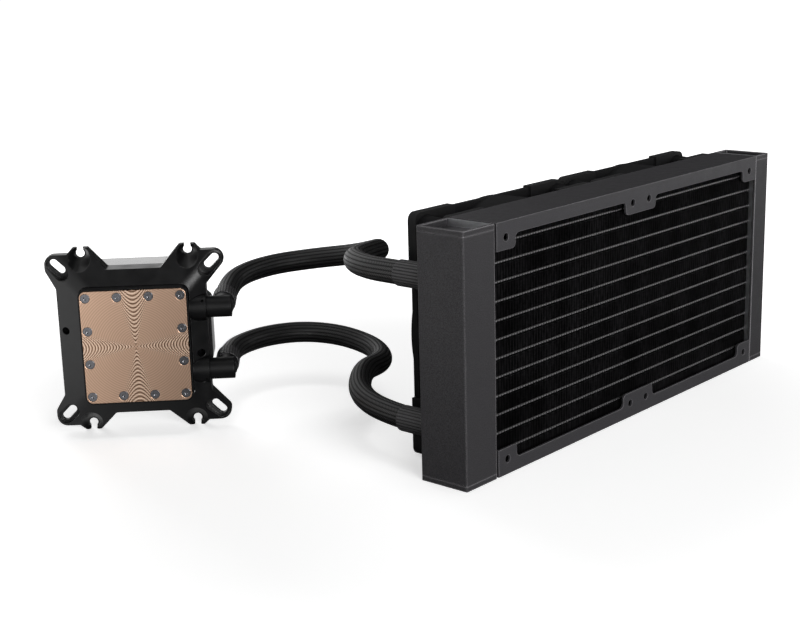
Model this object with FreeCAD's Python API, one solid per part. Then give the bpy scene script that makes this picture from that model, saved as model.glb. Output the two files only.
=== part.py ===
import FreeCAD
import Part
import math
import os
from FreeCAD import Placement, Rotation, Vector

# All-in-one CPU liquid cooler, in millimetres.
# The radiator stands on its long edge: X runs along it, Y from its front face to the fans, Z is up.
# The origin is on the floor, under the middle of the screw pattern, at half the radiator's thickness.

# Fan size, which the radiator's height and length follow
FAN_SIZE = 120.0
FAN_COUNT = 2

# Radiator
RAD_THICK = 27.0
CORE_MARGIN = 1.0
LEFT_TANK_WIDTH = 22.0
RIGHT_TANK_WIDTH = 14.0
TANK_WALL = 1.4
TANK_EDGE_ROUND = 0.8
CAP_SINK = 3.2
CAP_THICK = 1.2
SEAM_BELOW_RIM = 2.5
SEAM_SIZE = 0.25
HEADER_THICK = 1.4
HEADER_SET_IN = 0.2
PLATE_THICK = 1.2
PLATE_END_GAP = 1.7
LIP_HEIGHT = 6.5
TAB_HEIGHT = 13.2
CORNER_TAB_REACH = 7.2
MIDDLE_TAB_REACH = 6.3
TAB_ROUND = 2.5
CORE_DEPTH = 19.0
TUBE_PITCH = 9.0
TUBE_HEIGHT = 2.0
TUBE_WALL = 0.3
TUBE_STICK_OUT = 1.5
FIN_FOLDS = 44
FIN_SHEET = 0.3
FIN_CREST = 0.9
SLIDE_GAP = 0.05

# Screw pattern of the radiator and the fans
HOLE_INSET = 7.5
SCREW_HOLE_R = 1.9
COLLAR_WALL = 1.0
COLLAR_DEPTH = 1.6
FAN_HOLE_R = 2.15
FAN_SCREW_R = 1.75
FAN_SCREW_HEAD_R = 3.2
FAN_SCREW_HEAD = 2.0
FAN_SCREW_TIP = 3.5

# Fans
FAN_DEPTH = 25.0
FAN_SIDE_GAP = 0.3
FLANGE_ZONE = 5.0
FLANGE_SKIN = 0.9
FLANGE_SETBACK = 0.8
PAD_LENGTH = 29.0
FAN_CORNER_R = 4.0
DUCT_INSET = 3.0
DUCT_WALL = 2.0
POST_R_FRONT = 4.2
POST_R_BACK = 5.4
STRUT_COUNT = 4
STRUT_WIDTH = 3.6
STRUT_THICK = 3.0
CUP_R = 20.5
CUP_DEPTH = 4.5
CUP_FLOOR = 1.5
BEARING_TUBE_R = 4.5
BEARING_R = 3.6
BEARING_LENGTH = 13.0
SHAFT_R = 1.5
RUN_GAP = 0.05
HUB_R = 21.5
HUB_WALL = 1.6
HUB_BACK_SET_IN = 0.8
HUB_ROUND = 2.0
YOKE_WALL = 1.2
MAGNET_WALL = 2.2
STATOR_R = 14.6
STATOR_HEIGHT = 8.0
BOARD_THICK = 1.2
BLADE_COUNT = 9
BLADE_ROOT = 2.5
BLADE_OVER = 2.0
BLADE_SHARES = (0.35, 0.65)
BLADE_CHORDS = (20.0, 25.0, 31.0, 36.0)
BLADE_PITCHES = (46.0, 37.0, 30.0, 25.0)
BLADE_ARCH = 0.08
BLADE_TIP_GAP = 1.0
BLADE_THICK = 1.5

# Hoses, their fittings and collars
HOSE_R = 5.75
COLLAR_R_TANK = 6.3
COLLAR_R_BLOCK = 6.2
COLLAR_LENGTH_TANK = 18.3
COLLAR_LENGTH_BLOCK = 14.5
COLLAR_GAP = 0.16
BARB_R = 4.0
BARB_BORE_R = 3.0
FITTING_R = 6.6
FITTING_FLANGE = 1.2
FITTING_BELOW_TOP = 26.0
FITTING_ABOVE_FLOOR = 23.5

# Pump block, in its own frame: x to its right, y into its depth from the copper face, z up
BLOCK_X = -182.7
BLOCK_Y = 166.6
BLOCK_Z = 48.2
BLOCK_TURN = -45.0
COPPER_HALF_X = 26.4
COPPER_HALF_Z = 29.05
COPPER_THICK = 3.0
COPPER_ROUND = 3.2
PLATE_SCREW_X = 23.5
PLATE_SCREW_Z = 25.6
PLATE_SCREW_HEAD_R = 2.3
PLATE_SCREW_HEAD = 1.2
PLATE_SCREW_SINK = 0.2
PLATE_SCREW_R = 1.2
PLATE_SCREW_LENGTH = 7.0
PLATE_SOCKET_R = 0.85
MICROFIN_COUNT = 24
MICROFIN_AREA = 30.0
MICROFIN_HEIGHT = 3.0
RIM_WIDTH = 0.85
RIM_SINK = 0.4
COPPER_GAP = 0.3
WINDOW_GAP = 0.15
SLOPE_TOP = 5.8
SLOPE_RISE = 0.63
SLOPE_BLEND = 11.0
SLOPE_LEAD = 3.0
BEAM_LEFT = -39.7
BEAM_RIGHT = 35.7
BEAM_HALF_Z = 37.7
SIDE_CORNER_Z = 28.0
BRACKET_BACK = 21.0
BRACKET_WALL = 2.3
EAR_FLOOR = 18.2
EAR_CORNER = 45.1
EAR_ROUND = 5.2
EAR_HEEL_LEFT = 36.8
EAR_HEEL_RIGHT = 38.3
HEEL_ROUND = 3.5
EAR_WALL = 1.4
SLOT_INNER = 37.0
SLOT_OUTER = 40.5
SLOT_R = 2.1
SLOT_SINK_R = 3.8
SLOT_SINK_INNER = 36.1
SLOT_SINK_OUTER = 40.1
HOOK_X = 27.0
HOOK_Z = 45.0
HOOK_R = 2.2
HOOK_MOUTH = 3.2
NOTCH_HALF = 13.65
HOOK_INNER_X = 22.9
HOOK_OUTER_X = 30.6
EAR_STEP_X = 33.4
DISH_BACK_R = 2.6
DISH_LIP = 1.2
DISH_FLARE = 0.578
BEAM_HOLE_R = 1.95
BEAM_HOLE_LEFT = (-35.9, 6.7)
BEAM_HOLE_RIGHT = (31.7, -7.2)
BEAM_SCREW_R = 1.2
BEAM_SCREW_HEAD_R = 1.8
BEAM_SCREW_HEAD = 1.5
BEAM_SCREW_SEAT = 4.0
BEAM_POST_R = 3.0

# Pump behind the bracket
OCTAGON_HALF = 36.5
CORNER_CUT_RIGHT = 21.4
CORNER_CUT_LEFT = 12.5
BODY_PLATE = 6.0
COVER_DEPTH = 19.0
COVER_WALL = 2.4
COVER_EDGE = 1.5
OCTAGON_ROUND = 3.0
CHAMBER_R = 13.0
CHAMBER_DEPTH = 7.0
JET_PLATE_HALF = 17.0
JET_PLATE_THICK = 1.5
JET_PLATE_ROUND = 1.0
JET_SLIT = 2.0
GASKET_HALF_X = 20.2
GASKET_HALF_Z = 22.3
GASKET_SECTION = 1.6
BOSS_R = 6.9
BOSS_END = 35.6
BOSS_Z = 16.35
BOSS_DEPTH = 11.4
SPIGOT_R = 4.9
SPIGOT_START = 27.2
ELBOW_R = 5.5
ELBOW_END = 48.3
ELBOW_ROUND = 0.5
OUTLET_X = 43.9
OUTLET_R = 5.6
OUTLET_FACE = 19.0
WATER_R = 3.0
SEAL_SECTION = 0.7
SEAL_X = 30.2
PIN_X = 33.8
PIN_R = 0.6
IMPELLER_R = 11.5
IMPELLER_DISC = 1.6
IMPELLER_BLADE = 3.0
IMPELLER_BLADES = 6
ROTOR_R = 7.0
ROTOR_LENGTH = 12.0
PUMP_SHAFT_R = 1.25
CUP_INNER_R = 7.6
CUP_WALL = 0.9
CUP_FLANGE_R = 17.0
CUP_FLANGE = 2.0
PUMP_STATOR_R = 19.0
PUMP_STATOR_HEIGHT = 7.0
PUMP_BOARD_R = 24.0
COVER_SCREW_R = 1.4
COVER_SCREW_HEAD_R = 2.6
COVER_SCREW_REACH = 32.5

# Hose routes, chosen by hand between the tank fitting and the elbow
LOWER_ROUTE = [(-132.0, 41.0, 23.5), (-124.2, 69.4, 25.8), (-102.2, 87.4, 30.2), (-79.1, 94.9, 27.6),
               (-62.1, 109.4, 25.6), (-52.0, 127.5, 26.2), (-54.2, 148.5, 29.2), (-66.0, 165.3, 31.0),
               (-84.5, 174.6, 31.2), (-105.0, 174.0, 31.0)]
UPPER_ROUTE = [(-132.0, 33.1, 94.0), (-131.0, 54.4, 93.6), (-120.0, 74.1, 92.7), (-99.0, 89.0, 89.5),
               (-73.7, 98.2, 87.1), (-54.8, 118.3, 81.3), (-47.4, 139.6, 75.1), (-57.9, 162.9, 71.7),
               (-79.4, 176.5, 70.2), (-104.6, 175.9, 68.3)]
LAST_HOSE_RUN = 21.0

# Worked out from the sizes above
RAD_HEIGHT = FAN_SIZE
CORE_RIGHT = FAN_COUNT * FAN_SIZE / 2
CORE_LEFT = -CORE_RIGHT - CORE_MARGIN
HOLE_SPACING = FAN_SIZE - 2 * HOLE_INSET
DUCT_R = FAN_SIZE / 2 - DUCT_INSET
TUBE_COUNT = int(RAD_HEIGHT / TUBE_PITCH) - 1
FITTING_X = CORE_LEFT - LEFT_TANK_WIDTH / 2
FITTING_Z_UPPER = RAD_HEIGHT - FITTING_BELOW_TOP
FITTING_Z_LOWER = FITTING_ABOVE_FLOOR
FRONT = -RAD_THICK / 2
BACK = RAD_THICK / 2
MIDDLE_Z = RAD_HEIGHT / 2
FAN_BACK = BACK + FAN_DEPTH
FAN_X = FAN_SIZE / 2
LEFT_END = CORE_LEFT - LEFT_TANK_WIDTH
RIGHT_END = CORE_RIGHT + RIGHT_TANK_WIDTH
PLATE_LEFT = CORE_LEFT + PLATE_END_GAP
PLATE_RIGHT = CORE_RIGHT - PLATE_END_GAP / 2
HOLE_NEAR = FAN_X - HOLE_SPACING / 2
HOLE_FAR = FAN_X + HOLE_SPACING / 2
HOLE_LOW = MIDDLE_Z - HOLE_SPACING / 2
HOLE_HIGH = MIDDLE_Z + HOLE_SPACING / 2
BODY_CORE_HALF_X = COPPER_HALF_X + RIM_WIDTH
BODY_CORE_HALF_Z = COPPER_HALF_Z + RIM_WIDTH
BODY_BACK = BRACKET_BACK + BODY_PLATE
COVER_BACK = BODY_BACK + COVER_DEPTH
BLOCK = Placement(Vector(BLOCK_X, BLOCK_Y, BLOCK_Z), Rotation(Vector(0, 0, 1), BLOCK_TURN))
NODES = {}


def keep(name, *solids):
    """Hold the solids of one node, to be written at the end."""
    NODES[name] = list(solids)


def box(x, y, z):
    """A box from its two limits along each axis."""
    return Part.makeBox(x[1] - x[0], y[1] - y[0], z[1] - z[0], Vector(x[0], y[0], z[0]))


def rod_y(radius, x, z, y0, y1):
    """A round bar along Y."""
    return Part.makeCylinder(radius, y1 - y0, Vector(x, y0, z), Vector(0, 1, 0))


def rod_x(radius, y, z, x0, x1):
    """A round bar along X."""
    return Part.makeCylinder(radius, x1 - x0, Vector(x0, y, z), Vector(1, 0, 0))


def ring_y(outer, inner, x, z, y0, y1):
    """A round sleeve along Y."""
    return rod_y(outer, x, z, y0, y1).cut(rod_y(inner, x, z, y0 - 1, y1 + 1))


def outline(corners, y):
    """A closed wire in the plane of one y, through corners (x, z, rounding)."""
    edges = []
    ends = []
    for i, (x, z, r) in enumerate(corners):
        here = Vector(x, y, z)
        before = Vector(corners[i - 1][0], y, corners[i - 1][1]) - here
        after = Vector(corners[(i + 1) % len(corners)][0], y, corners[(i + 1) % len(corners)][1]) - here
        before.normalize()
        after.normalize()
        if r <= 0:
            ends.append((here, here))
            continue
        half = before.getAngle(after) / 2
        start = here + before * (r / math.tan(half))
        end = here + after * (r / math.tan(half))
        middle = before + after
        middle.normalize()
        top = here + middle * (r / math.sin(half) - r)
        edges.append(Part.Arc(start, top, end).toShape())
        ends.append((start, end))
    for i, (start, end) in enumerate(ends):
        following = ends[(i + 1) % len(ends)][0]
        if (following - end).Length > 1e-6:
            edges.append(Part.makeLine(end, following))
    return Part.Wire(Part.__sortEdges__(edges))


def prism(corners, y0, y1):
    """A plate of the given outline, from y0 to y1."""
    return Part.Face(outline(corners, y0)).extrude(Vector(0, y1 - y0, 0))


def rectangle(half_x, half_z, rounding=0.0, cx=0.0, cz=0.0):
    """The corners of a centred rectangle."""
    return [(cx - half_x, cz - half_z, rounding), (cx + half_x, cz - half_z, rounding),
            (cx + half_x, cz + half_z, rounding), (cx - half_x, cz + half_z, rounding)]


def capsule(x0, z0, x1, z1, r, y0, y1):
    """A bar with a slot's section, along Y."""
    along = Vector(x1 - x0, 0, z1 - z0)
    length = along.Length
    along.normalize()
    side = Vector(-along.z, 0, along.x) * r
    start = Vector(x0, y0, z0)
    end = Vector(x1, y0, z1)
    edges = [Part.makeLine(start + side, end + side),
             Part.Arc(end + side, end + along * r, end - side).toShape(),
             Part.makeLine(end - side, start - side),
             Part.Arc(start - side, start - along * r, start + side).toShape()]
    return Part.Face(Part.Wire(edges)).extrude(Vector(0, y1 - y0, 0))


def frustum(near, far, y0, y1):
    """A four-sided frustum between two outlines, each (low x, high x, low z, high z)."""
    wires = []
    for (x0, x1, z0, z1), y in ((near, y0), (far, y1)):
        wires.append(outline([(x0, z0, 0), (x1, z0, 0), (x1, z1, 0), (x0, z1, 0)], y))
    return Part.makeLoft(wires, True, True)


def mirrored(shape, normal):
    """The mirror image of a shape in a plane through the origin."""
    return shape.mirror(Vector(0, 0, 0), normal)


def turned_y(shape, degrees, x=0.0, z=0.0):
    """The shape turned about an axis along Y."""
    copy = shape.copy()
    copy.rotate(Vector(x, 0, z), Vector(0, 1, 0), degrees)
    return copy


def moved(shape, x=0.0, y=0.0, z=0.0):
    """The shape shifted."""
    copy = shape.copy()
    copy.translate(Vector(x, y, z))
    return copy


def fused(shapes):
    """One solid from several that meet."""
    whole = shapes[0]
    if len(shapes) > 1:
        whole = whole.fuse(shapes[1:])
    return whole.removeSplitter()


def in_block(shape):
    """A piece of the pump block, put where the block stands."""
    copy = shape.copy()
    copy.Placement = BLOCK.multiply(copy.Placement)
    return copy


# Radiator

def make_tank(outer_x, inner_x, fittings):
    """One tank: a folded channel with three walls, open to the core and at its ends."""
    low, high = min(outer_x, inner_x), max(outer_x, inner_x)
    shell = box((low, high), (FRONT, BACK), (0, RAD_HEIGHT))
    upright = [e for e in shell.Edges if abs(e.BoundBox.ZLength - RAD_HEIGHT) < 1e-6
               and abs(e.BoundBox.XMin - outer_x) < 1e-6]
    shell = shell.makeFillet(TANK_EDGE_ROUND, upright)
    step = TANK_WALL if outer_x < inner_x else -TANK_WALL
    inside = sorted((outer_x + step, inner_x + step))
    shell = shell.cut(box(inside, (FRONT + TANK_WALL, BACK - TANK_WALL), (-1, RAD_HEIGHT + 1)))
    skin = box((low + SEAM_SIZE, high - SEAM_SIZE), (FRONT + SEAM_SIZE, BACK - SEAM_SIZE), (-1, RAD_HEIGHT + 1))
    for z in (SEAM_BELOW_RIM, RAD_HEIGHT - SEAM_BELOW_RIM):
        band = box((low - 1, high + 1), (FRONT - 1, BACK + 1), (z - SEAM_SIZE / 2, z + SEAM_SIZE / 2))
        band = band.cut(skin).cut(box((high - SEAM_SIZE, high + 1) if outer_x < inner_x
                                      else (low - 1, low + SEAM_SIZE), (FRONT, BACK), (0, RAD_HEIGHT)))
        shell = shell.cut(band)
    for z in fittings:
        shell = shell.cut(rod_y(BARB_R + SLIDE_GAP, FITTING_X, z, 0, BACK + 1))
    return shell


def make_tank_caps(outer_x, inner_x):
    """The plates sunk in the top and bottom of a tank, from its end wall to the header plate."""
    step = TANK_WALL if outer_x < inner_x else -TANK_WALL
    seat = HEADER_SET_IN + HEADER_THICK
    x = sorted((outer_x + step, inner_x - seat if outer_x < inner_x else inner_x + seat))
    y = (FRONT + TANK_WALL, BACK - TANK_WALL)
    bottom = box(x, y, (CAP_SINK, CAP_SINK + CAP_THICK))
    top = box(x, y, (RAD_HEIGHT - CAP_SINK - CAP_THICK, RAD_HEIGHT - CAP_SINK))
    return top, bottom


def tube_levels():
    """The heights of the flat tubes' middles."""
    return [MIDDLE_Z + TUBE_PITCH * (i - (TUBE_COUNT - 1) / 2) for i in range(TUBE_COUNT)]


def flat_bar(x, z, height, depth):
    """A bar along X with a flat tube's outer section."""
    r = height / 2
    reach = depth / 2 - r
    start = x[0]
    edges = [Part.makeLine(Vector(start, -reach, z - r), Vector(start, reach, z - r)),
             Part.Arc(Vector(start, reach, z - r), Vector(start, reach + r, z),
                      Vector(start, reach, z + r)).toShape(),
             Part.makeLine(Vector(start, reach, z + r), Vector(start, -reach, z + r)),
             Part.Arc(Vector(start, -reach, z + r), Vector(start, -reach - r, z),
                      Vector(start, -reach, z - r)).toShape()]
    return Part.Face(Part.Wire(edges)).extrude(Vector(x[1] - start, 0, 0))


def make_header(x):
    """A header plate with a slot for each flat tube."""
    plate = box(x, (FRONT + TANK_WALL, BACK - TANK_WALL), (0, RAD_HEIGHT))
    slots = [flat_bar((x[0] - 1, x[1] + 1), z, TUBE_HEIGHT + 2 * SLIDE_GAP, CORE_DEPTH + 2 * SLIDE_GAP)
             for z in tube_levels()]
    return plate.cut(slots)


def make_tubes(x):
    """The flat tubes, each hollow."""
    tubes = []
    for z in tube_levels():
        outer = flat_bar(x, z, TUBE_HEIGHT, CORE_DEPTH)
        inner = flat_bar((x[0] - 1, x[1] + 1), z, TUBE_HEIGHT - 2 * TUBE_WALL, CORE_DEPTH - 2 * TUBE_WALL)
        tubes.append(outer.cut(inner))
    return tubes


def make_fin_strip(x, z0, z1):
    """One row of folded fin, a wave of flat crests and steep webs."""
    fold = (x[1] - x[0]) / FIN_FOLDS
    inner = FIN_CREST - FIN_SHEET
    upper = []
    lower = []
    for i in range(FIN_FOLDS):
        middle = x[0] + fold * (i + 0.5)
        upper += [(middle - fold / 2 + inner, z0 + FIN_SHEET), (middle - FIN_CREST, z1),
                  (middle + FIN_CREST, z1), (middle + fold / 2 - inner, z0 + FIN_SHEET)]
        lower += [(middle - fold / 2 + FIN_CREST, z0), (middle - inner, z1 - FIN_SHEET),
                  (middle + inner, z1 - FIN_SHEET), (middle + fold / 2 - FIN_CREST, z0)]
    upper = [(x[0], z0 + FIN_SHEET)] + upper + [(x[1], z0 + FIN_SHEET)]
    lower = [(x[0], z0)] + lower + [(x[1], z0)]
    points = [Vector(a, -CORE_DEPTH / 2, b) for a, b in upper + lower[::-1]]
    face = Part.Face(Part.makePolygon(points + [points[0]]))
    return face.extrude(Vector(0, CORE_DEPTH, 0))


def make_fins():
    """All rows of fin, between the tubes and the side plates."""
    levels = tube_levels()
    floors = [PLATE_THICK] + [z + TUBE_HEIGHT / 2 for z in levels]
    roofs = [z - TUBE_HEIGHT / 2 for z in levels] + [RAD_HEIGHT - PLATE_THICK]
    x = (CORE_LEFT + HEADER_SET_IN, CORE_RIGHT - HEADER_SET_IN)
    return [make_fin_strip(x, low, high) for low, high in zip(floors, roofs)]


def make_lip(y0):
    """The front or back lip of a bottom side plate, with its tabs, before it is drilled."""
    corner_left = -HOLE_FAR + CORNER_TAB_REACH
    corner_right = HOLE_FAR - CORNER_TAB_REACH
    middle = HOLE_NEAR + MIDDLE_TAB_REACH
    r = TAB_ROUND
    corners = [(PLATE_LEFT, 0, 0), (PLATE_RIGHT, 0, 0), (PLATE_RIGHT, TAB_HEIGHT, 0),
               (corner_right, TAB_HEIGHT, r), (corner_right, LIP_HEIGHT, r), (middle, LIP_HEIGHT, r),
               (middle, TAB_HEIGHT, r), (-middle, TAB_HEIGHT, r), (-middle, LIP_HEIGHT, r),
               (corner_left, LIP_HEIGHT, r), (corner_left, TAB_HEIGHT, r), (PLATE_LEFT, TAB_HEIGHT, 0)]
    return prism(corners, y0, y0 + PLATE_THICK)


def make_side_plate():
    """The bottom side plate: a web, two lips, plain front holes and a threaded collar at each back hole."""
    web = box((PLATE_LEFT, PLATE_RIGHT), (FRONT, BACK), (0, PLATE_THICK))
    solids = [web, make_lip(FRONT), make_lip(BACK - PLATE_THICK)]
    holes = []
    for x in (-HOLE_FAR, -HOLE_NEAR, HOLE_NEAR, HOLE_FAR):
        solids.append(rod_y(SCREW_HOLE_R + COLLAR_WALL, x, HOLE_LOW, BACK - PLATE_THICK - COLLAR_DEPTH, BACK))
        holes.append(rod_y(SCREW_HOLE_R, x, HOLE_LOW, FRONT - 1, BACK + 1))
    return fused(solids).cut(holes)


def make_fitting(z):
    """A hose fitting: a flange against the tank's back wall and a barbed tube through it."""
    tip = BACK + FITTING_FLANGE + COLLAR_LENGTH_TANK
    fitting = fused([rod_y(FITTING_R, FITTING_X, z, BACK, BACK + FITTING_FLANGE),
                     rod_y(BARB_R, FITTING_X, z, BACK - TANK_WALL - 1, tip)])
    return fitting.cut(rod_y(BARB_BORE_R, FITTING_X, z, 0, tip + 1))


def build_radiator():
    """The tanks, header plates, core and side plates."""
    left = (LEFT_END, CORE_LEFT)
    right = (RIGHT_END, CORE_RIGHT)
    left_header = (CORE_LEFT - HEADER_SET_IN - HEADER_THICK, CORE_LEFT - HEADER_SET_IN)
    right_header = (CORE_RIGHT + HEADER_SET_IN, CORE_RIGHT + HEADER_SET_IN + HEADER_THICK)
    keep("left_tank", make_tank(*left, (FITTING_Z_UPPER, FITTING_Z_LOWER)))
    keep("right_tank", make_tank(*right, ()))
    for name, ends in (("left_tank", left), ("right_tank", right)):
        top, bottom = make_tank_caps(*ends)
        keep(name + "_top_cap", top)
        keep(name + "_bottom_cap", bottom)
    keep("left_header_plate", make_header(left_header))
    keep("right_header_plate", make_header(right_header))
    baffle_x = (LEFT_END + TANK_WALL, left_header[0] - TUBE_STICK_OUT - SLIDE_GAP)
    baffle_z = (MIDDLE_Z - CAP_THICK / 2, MIDDLE_Z + CAP_THICK / 2)
    lip_x = (baffle_x[1] - SLIDE_GAP, left_header[0])
    baffle = box(baffle_x, (FRONT + TANK_WALL, BACK - TANK_WALL), baffle_z)
    keep("left_tank_baffle", fused([baffle, box(lip_x, (FRONT + TANK_WALL, BACK - TANK_WALL), baffle_z)]))
    keep("flat_tubes", *make_tubes((left_header[0] - TUBE_STICK_OUT, right_header[1] + TUBE_STICK_OUT)))
    keep("fin_rows", *make_fins())
    bottom = make_side_plate()
    keep("bottom_side_plate", bottom)
    keep("top_side_plate", moved(mirrored(bottom, Vector(0, 0, 1)), 0, 0, RAD_HEIGHT))
    keep("upper_tank_fitting", make_fitting(FITTING_Z_UPPER))
    keep("lower_tank_fitting", make_fitting(FITTING_Z_LOWER))


# Fans, drawn about their own axis through x = 0, z = 0

def flange_corners(inset):
    """The square outline of a fan flange."""
    half = FAN_SIZE / 2 - FAN_SIDE_GAP - inset
    return rectangle(half, half, FAN_CORNER_R - inset)


def screw_places():
    """The four screw holes of a fan."""
    half = HOLE_SPACING / 2
    return [(x, z) for x in (-half, half) for z in (-half, half)]


def pad_blank(y0, y1):
    """The L-shaped outer corner of a flange, at +x and +z."""
    half = FAN_SIZE / 2 - FAN_SIDE_GAP
    near = half - PAD_LENGTH
    corner = prism([(near, near, 0), (half, near, 0), (half, half, FAN_CORNER_R), (near, half, 0)], y0, y1)
    return corner.cut(rod_y(DUCT_R + DUCT_WALL, 0, 0, y0 - 1, y1 + 1))


def make_fan_frame():
    """A fan frame: two flanges, the round duct, corner posts, struts and the motor's cup."""
    skin = (BACK + FLANGE_SKIN, BACK + FLANGE_ZONE - FLANGE_SKIN)
    back_skin = (FAN_BACK - FLANGE_ZONE + FLANGE_SKIN, FAN_BACK - FLANGE_SKIN)
    solids = [prism(flange_corners(FLANGE_SETBACK), *skin), prism(flange_corners(FLANGE_SETBACK), *back_skin),
              rod_y(DUCT_R + DUCT_WALL, 0, 0, BACK, FAN_BACK)]
    for x, z in screw_places():
        post = Part.makeCone(POST_R_FRONT, POST_R_BACK, back_skin[0] - skin[1],
                             Vector(x, skin[1], z), Vector(0, 1, 0))
        solids.append(post)
    frame = fused(solids)
    frame = frame.cut([rod_y(DUCT_R, 0, 0, BACK - 1, FAN_BACK + 1)]
                      + [rod_y(FAN_HOLE_R, x, z, BACK - 1, FAN_BACK + 1)
                         for x, z in screw_places()])
    strut = box((CUP_R - 1, DUCT_R + DUCT_WALL / 2), (BACK, BACK + STRUT_THICK), (-STRUT_WIDTH / 2, STRUT_WIDTH / 2))
    struts = [turned_y(strut, 360 / STRUT_COUNT * (i + 0.5)) for i in range(STRUT_COUNT)]
    cup = rod_y(CUP_R, 0, 0, BACK, BACK + CUP_DEPTH)
    cup = cup.cut(rod_y(CUP_R - CUP_FLOOR, 0, 0, BACK + CUP_FLOOR, BACK + CUP_DEPTH + 1))
    bearing_tube = rod_y(BEARING_TUBE_R, 0, 0, BACK, BACK + CUP_FLOOR + BEARING_LENGTH + 1)
    frame = fused([frame, cup, bearing_tube] + struts)
    return frame.cut(rod_y(BEARING_R, 0, 0, BACK + CUP_FLOOR, FAN_BACK))


def make_fan_pads():
    """The rubber pads that wrap the flange corners, four in front and four behind."""
    pads = []
    skins = ((BACK, BACK + FLANGE_ZONE), (FAN_BACK - FLANGE_ZONE, FAN_BACK))
    for y0, y1 in skins:
        slot = prism(flange_corners(FLANGE_SETBACK), y0 + FLANGE_SKIN, y1 - FLANGE_SKIN)
        half = HOLE_SPACING / 2
        pad = pad_blank(y0, y1).cut(slot)
        pad = pad.cut(rod_y(POST_R_BACK + SLIDE_GAP, half, half, y0 - 1, y1 + 1))
        pads += [turned_y(pad, 90 * i) for i in range(4)]
    return pads


def blade_section(radius, chord, pitch):
    """A thin arched section across one blade, at one distance from the axis."""
    y_mid = (BACK + CUP_DEPTH + FAN_BACK) / 2
    camber = chord * BLADE_ARCH
    points = []
    for side in (1, -1):
        stations = (-1.0, -0.5, 0.0, 0.5, 1.0)
        for s in stations[::side]:
            thick = BLADE_THICK * (0.5 if abs(s) < 0.9 else 0.22)
            points.append((s * chord / 2, camber * (1 - s * s) + side * thick))
    turn = math.radians(pitch)
    corners = []
    for a, b in points:
        across = a * math.cos(turn) - b * math.sin(turn)
        along = a * math.sin(turn) + b * math.cos(turn)
        corners.append(Vector(across, y_mid + along, radius))
    return Part.makePolygon(corners + [corners[0]])


def make_rotor():
    """A fan rotor: the hub cup and its blades, moulded in one."""
    back = FAN_BACK - HUB_BACK_SET_IN
    front = BACK + CUP_DEPTH + 0.6
    hub = rod_y(HUB_R, 0, 0, front, back)
    rim = [e for e in hub.Edges if abs(e.BoundBox.YMin - back) < 1e-6 and e.BoundBox.YLength < 1e-6]
    hub = hub.makeFillet(HUB_ROUND, rim[:1])
    tip = DUCT_R - BLADE_TIP_GAP
    stations = [HUB_R - BLADE_ROOT] + [HUB_R + share * (tip - HUB_R) for share in BLADE_SHARES]
    stations.append(tip + BLADE_OVER)
    sections = [blade_section(*station) for station in zip(stations, BLADE_CHORDS, BLADE_PITCHES)]
    blade = Part.makeLoft(sections, True, False)
    sweep = rod_y(tip, 0, 0, front, back)
    blade = blade.common(sweep)
    blades = [turned_y(blade, 360 / BLADE_COUNT * i) for i in range(BLADE_COUNT)]
    rotor = fused([hub] + blades)
    cavity = rod_y(HUB_R - HUB_WALL, 0, 0, front - 1, back - HUB_WALL)
    boss = rod_y(BEARING_R, 0, 0, back - HUB_WALL - 3, back - HUB_WALL)
    rotor = rotor.cut(cavity)
    return fused([rotor, boss]).cut(rod_y(SHAFT_R, 0, 0, front, back - HUB_WALL))


def make_fan_drive():
    """The pieces in a fan's hub: yoke, magnet, shaft, bearing, stator and circuit board."""
    back = FAN_BACK - HUB_BACK_SET_IN - HUB_WALL
    front = BACK + CUP_DEPTH + 0.6
    yoke_r = HUB_R - HUB_WALL
    yoke = ring_y(yoke_r, yoke_r - YOKE_WALL, 0, 0, front + 1, back)
    magnet = ring_y(yoke_r - YOKE_WALL, yoke_r - YOKE_WALL - MAGNET_WALL, 0, 0, front + 1.5, back - 2)
    bearing_y = (BACK + CUP_FLOOR, BACK + CUP_FLOOR + BEARING_LENGTH)
    shaft = rod_y(SHAFT_R, 0, 0, bearing_y[0] + 0.3, back)
    bearing = ring_y(BEARING_R, SHAFT_R + RUN_GAP, 0, 0, *bearing_y)
    board_y = (BACK + CUP_FLOOR + 0.6, BACK + CUP_FLOOR + 0.6 + BOARD_THICK)
    board = ring_y(CUP_R - CUP_FLOOR - 1, BEARING_TUBE_R, 0, 0, *board_y)
    stator_y = (board_y[1] + 1.2, board_y[1] + 1.2 + STATOR_HEIGHT)
    stator = make_stator(STATOR_R, BEARING_TUBE_R, *stator_y)
    legs = [rod_y(0.9, x, 0, board_y[1], stator_y[0]) for x in (-7.0, 7.0)]
    feet = [rod_y(0.9, x, 0, BACK + CUP_FLOOR, board_y[0]) for x in (-11.0, 11.0)]
    return {"yoke": yoke, "magnet": magnet, "shaft": shaft, "bearing": bearing,
            "stator": fused([stator] + legs), "circuit_board": fused([board] + feet)}


def make_stator(outer, inner, y0, y1):
    """Four wound poles round a sleeve."""
    core = ring_y(inner + 2.2, inner, 0, 0, y0, y1)
    solids = [core]
    for i in range(4):
        coil = box((inner + 1, outer - 2.2), (y0, y1), (-2.6, 2.6))
        shoe = ring_y(outer, outer - 1.6, 0, 0, y0 + 1, y1 - 1).common(
            box((inner, outer + 1), (y0, y1), (-outer * 0.55, outer * 0.55)))
        neck = box((outer - 3.2, outer - 1.2), (y0 + 1, y1 - 1), (-1.6, 1.6))
        solids += [turned_y(s, 90 * i) for s in (coil, shoe, neck)]
    return fused(solids)


def make_screw(x, z, radius, head_r, head, seat_y, tip_y, socket):
    """A screw along Y, with its head on the +Y side of its seat."""
    shank = rod_y(radius, x, z, tip_y, seat_y)
    cap = rod_y(head_r, x, z, seat_y, seat_y + head)
    return fused([shank, cap]).cut(rod_y(socket, x, z, seat_y + head * 0.35, seat_y + head + 1))


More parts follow.
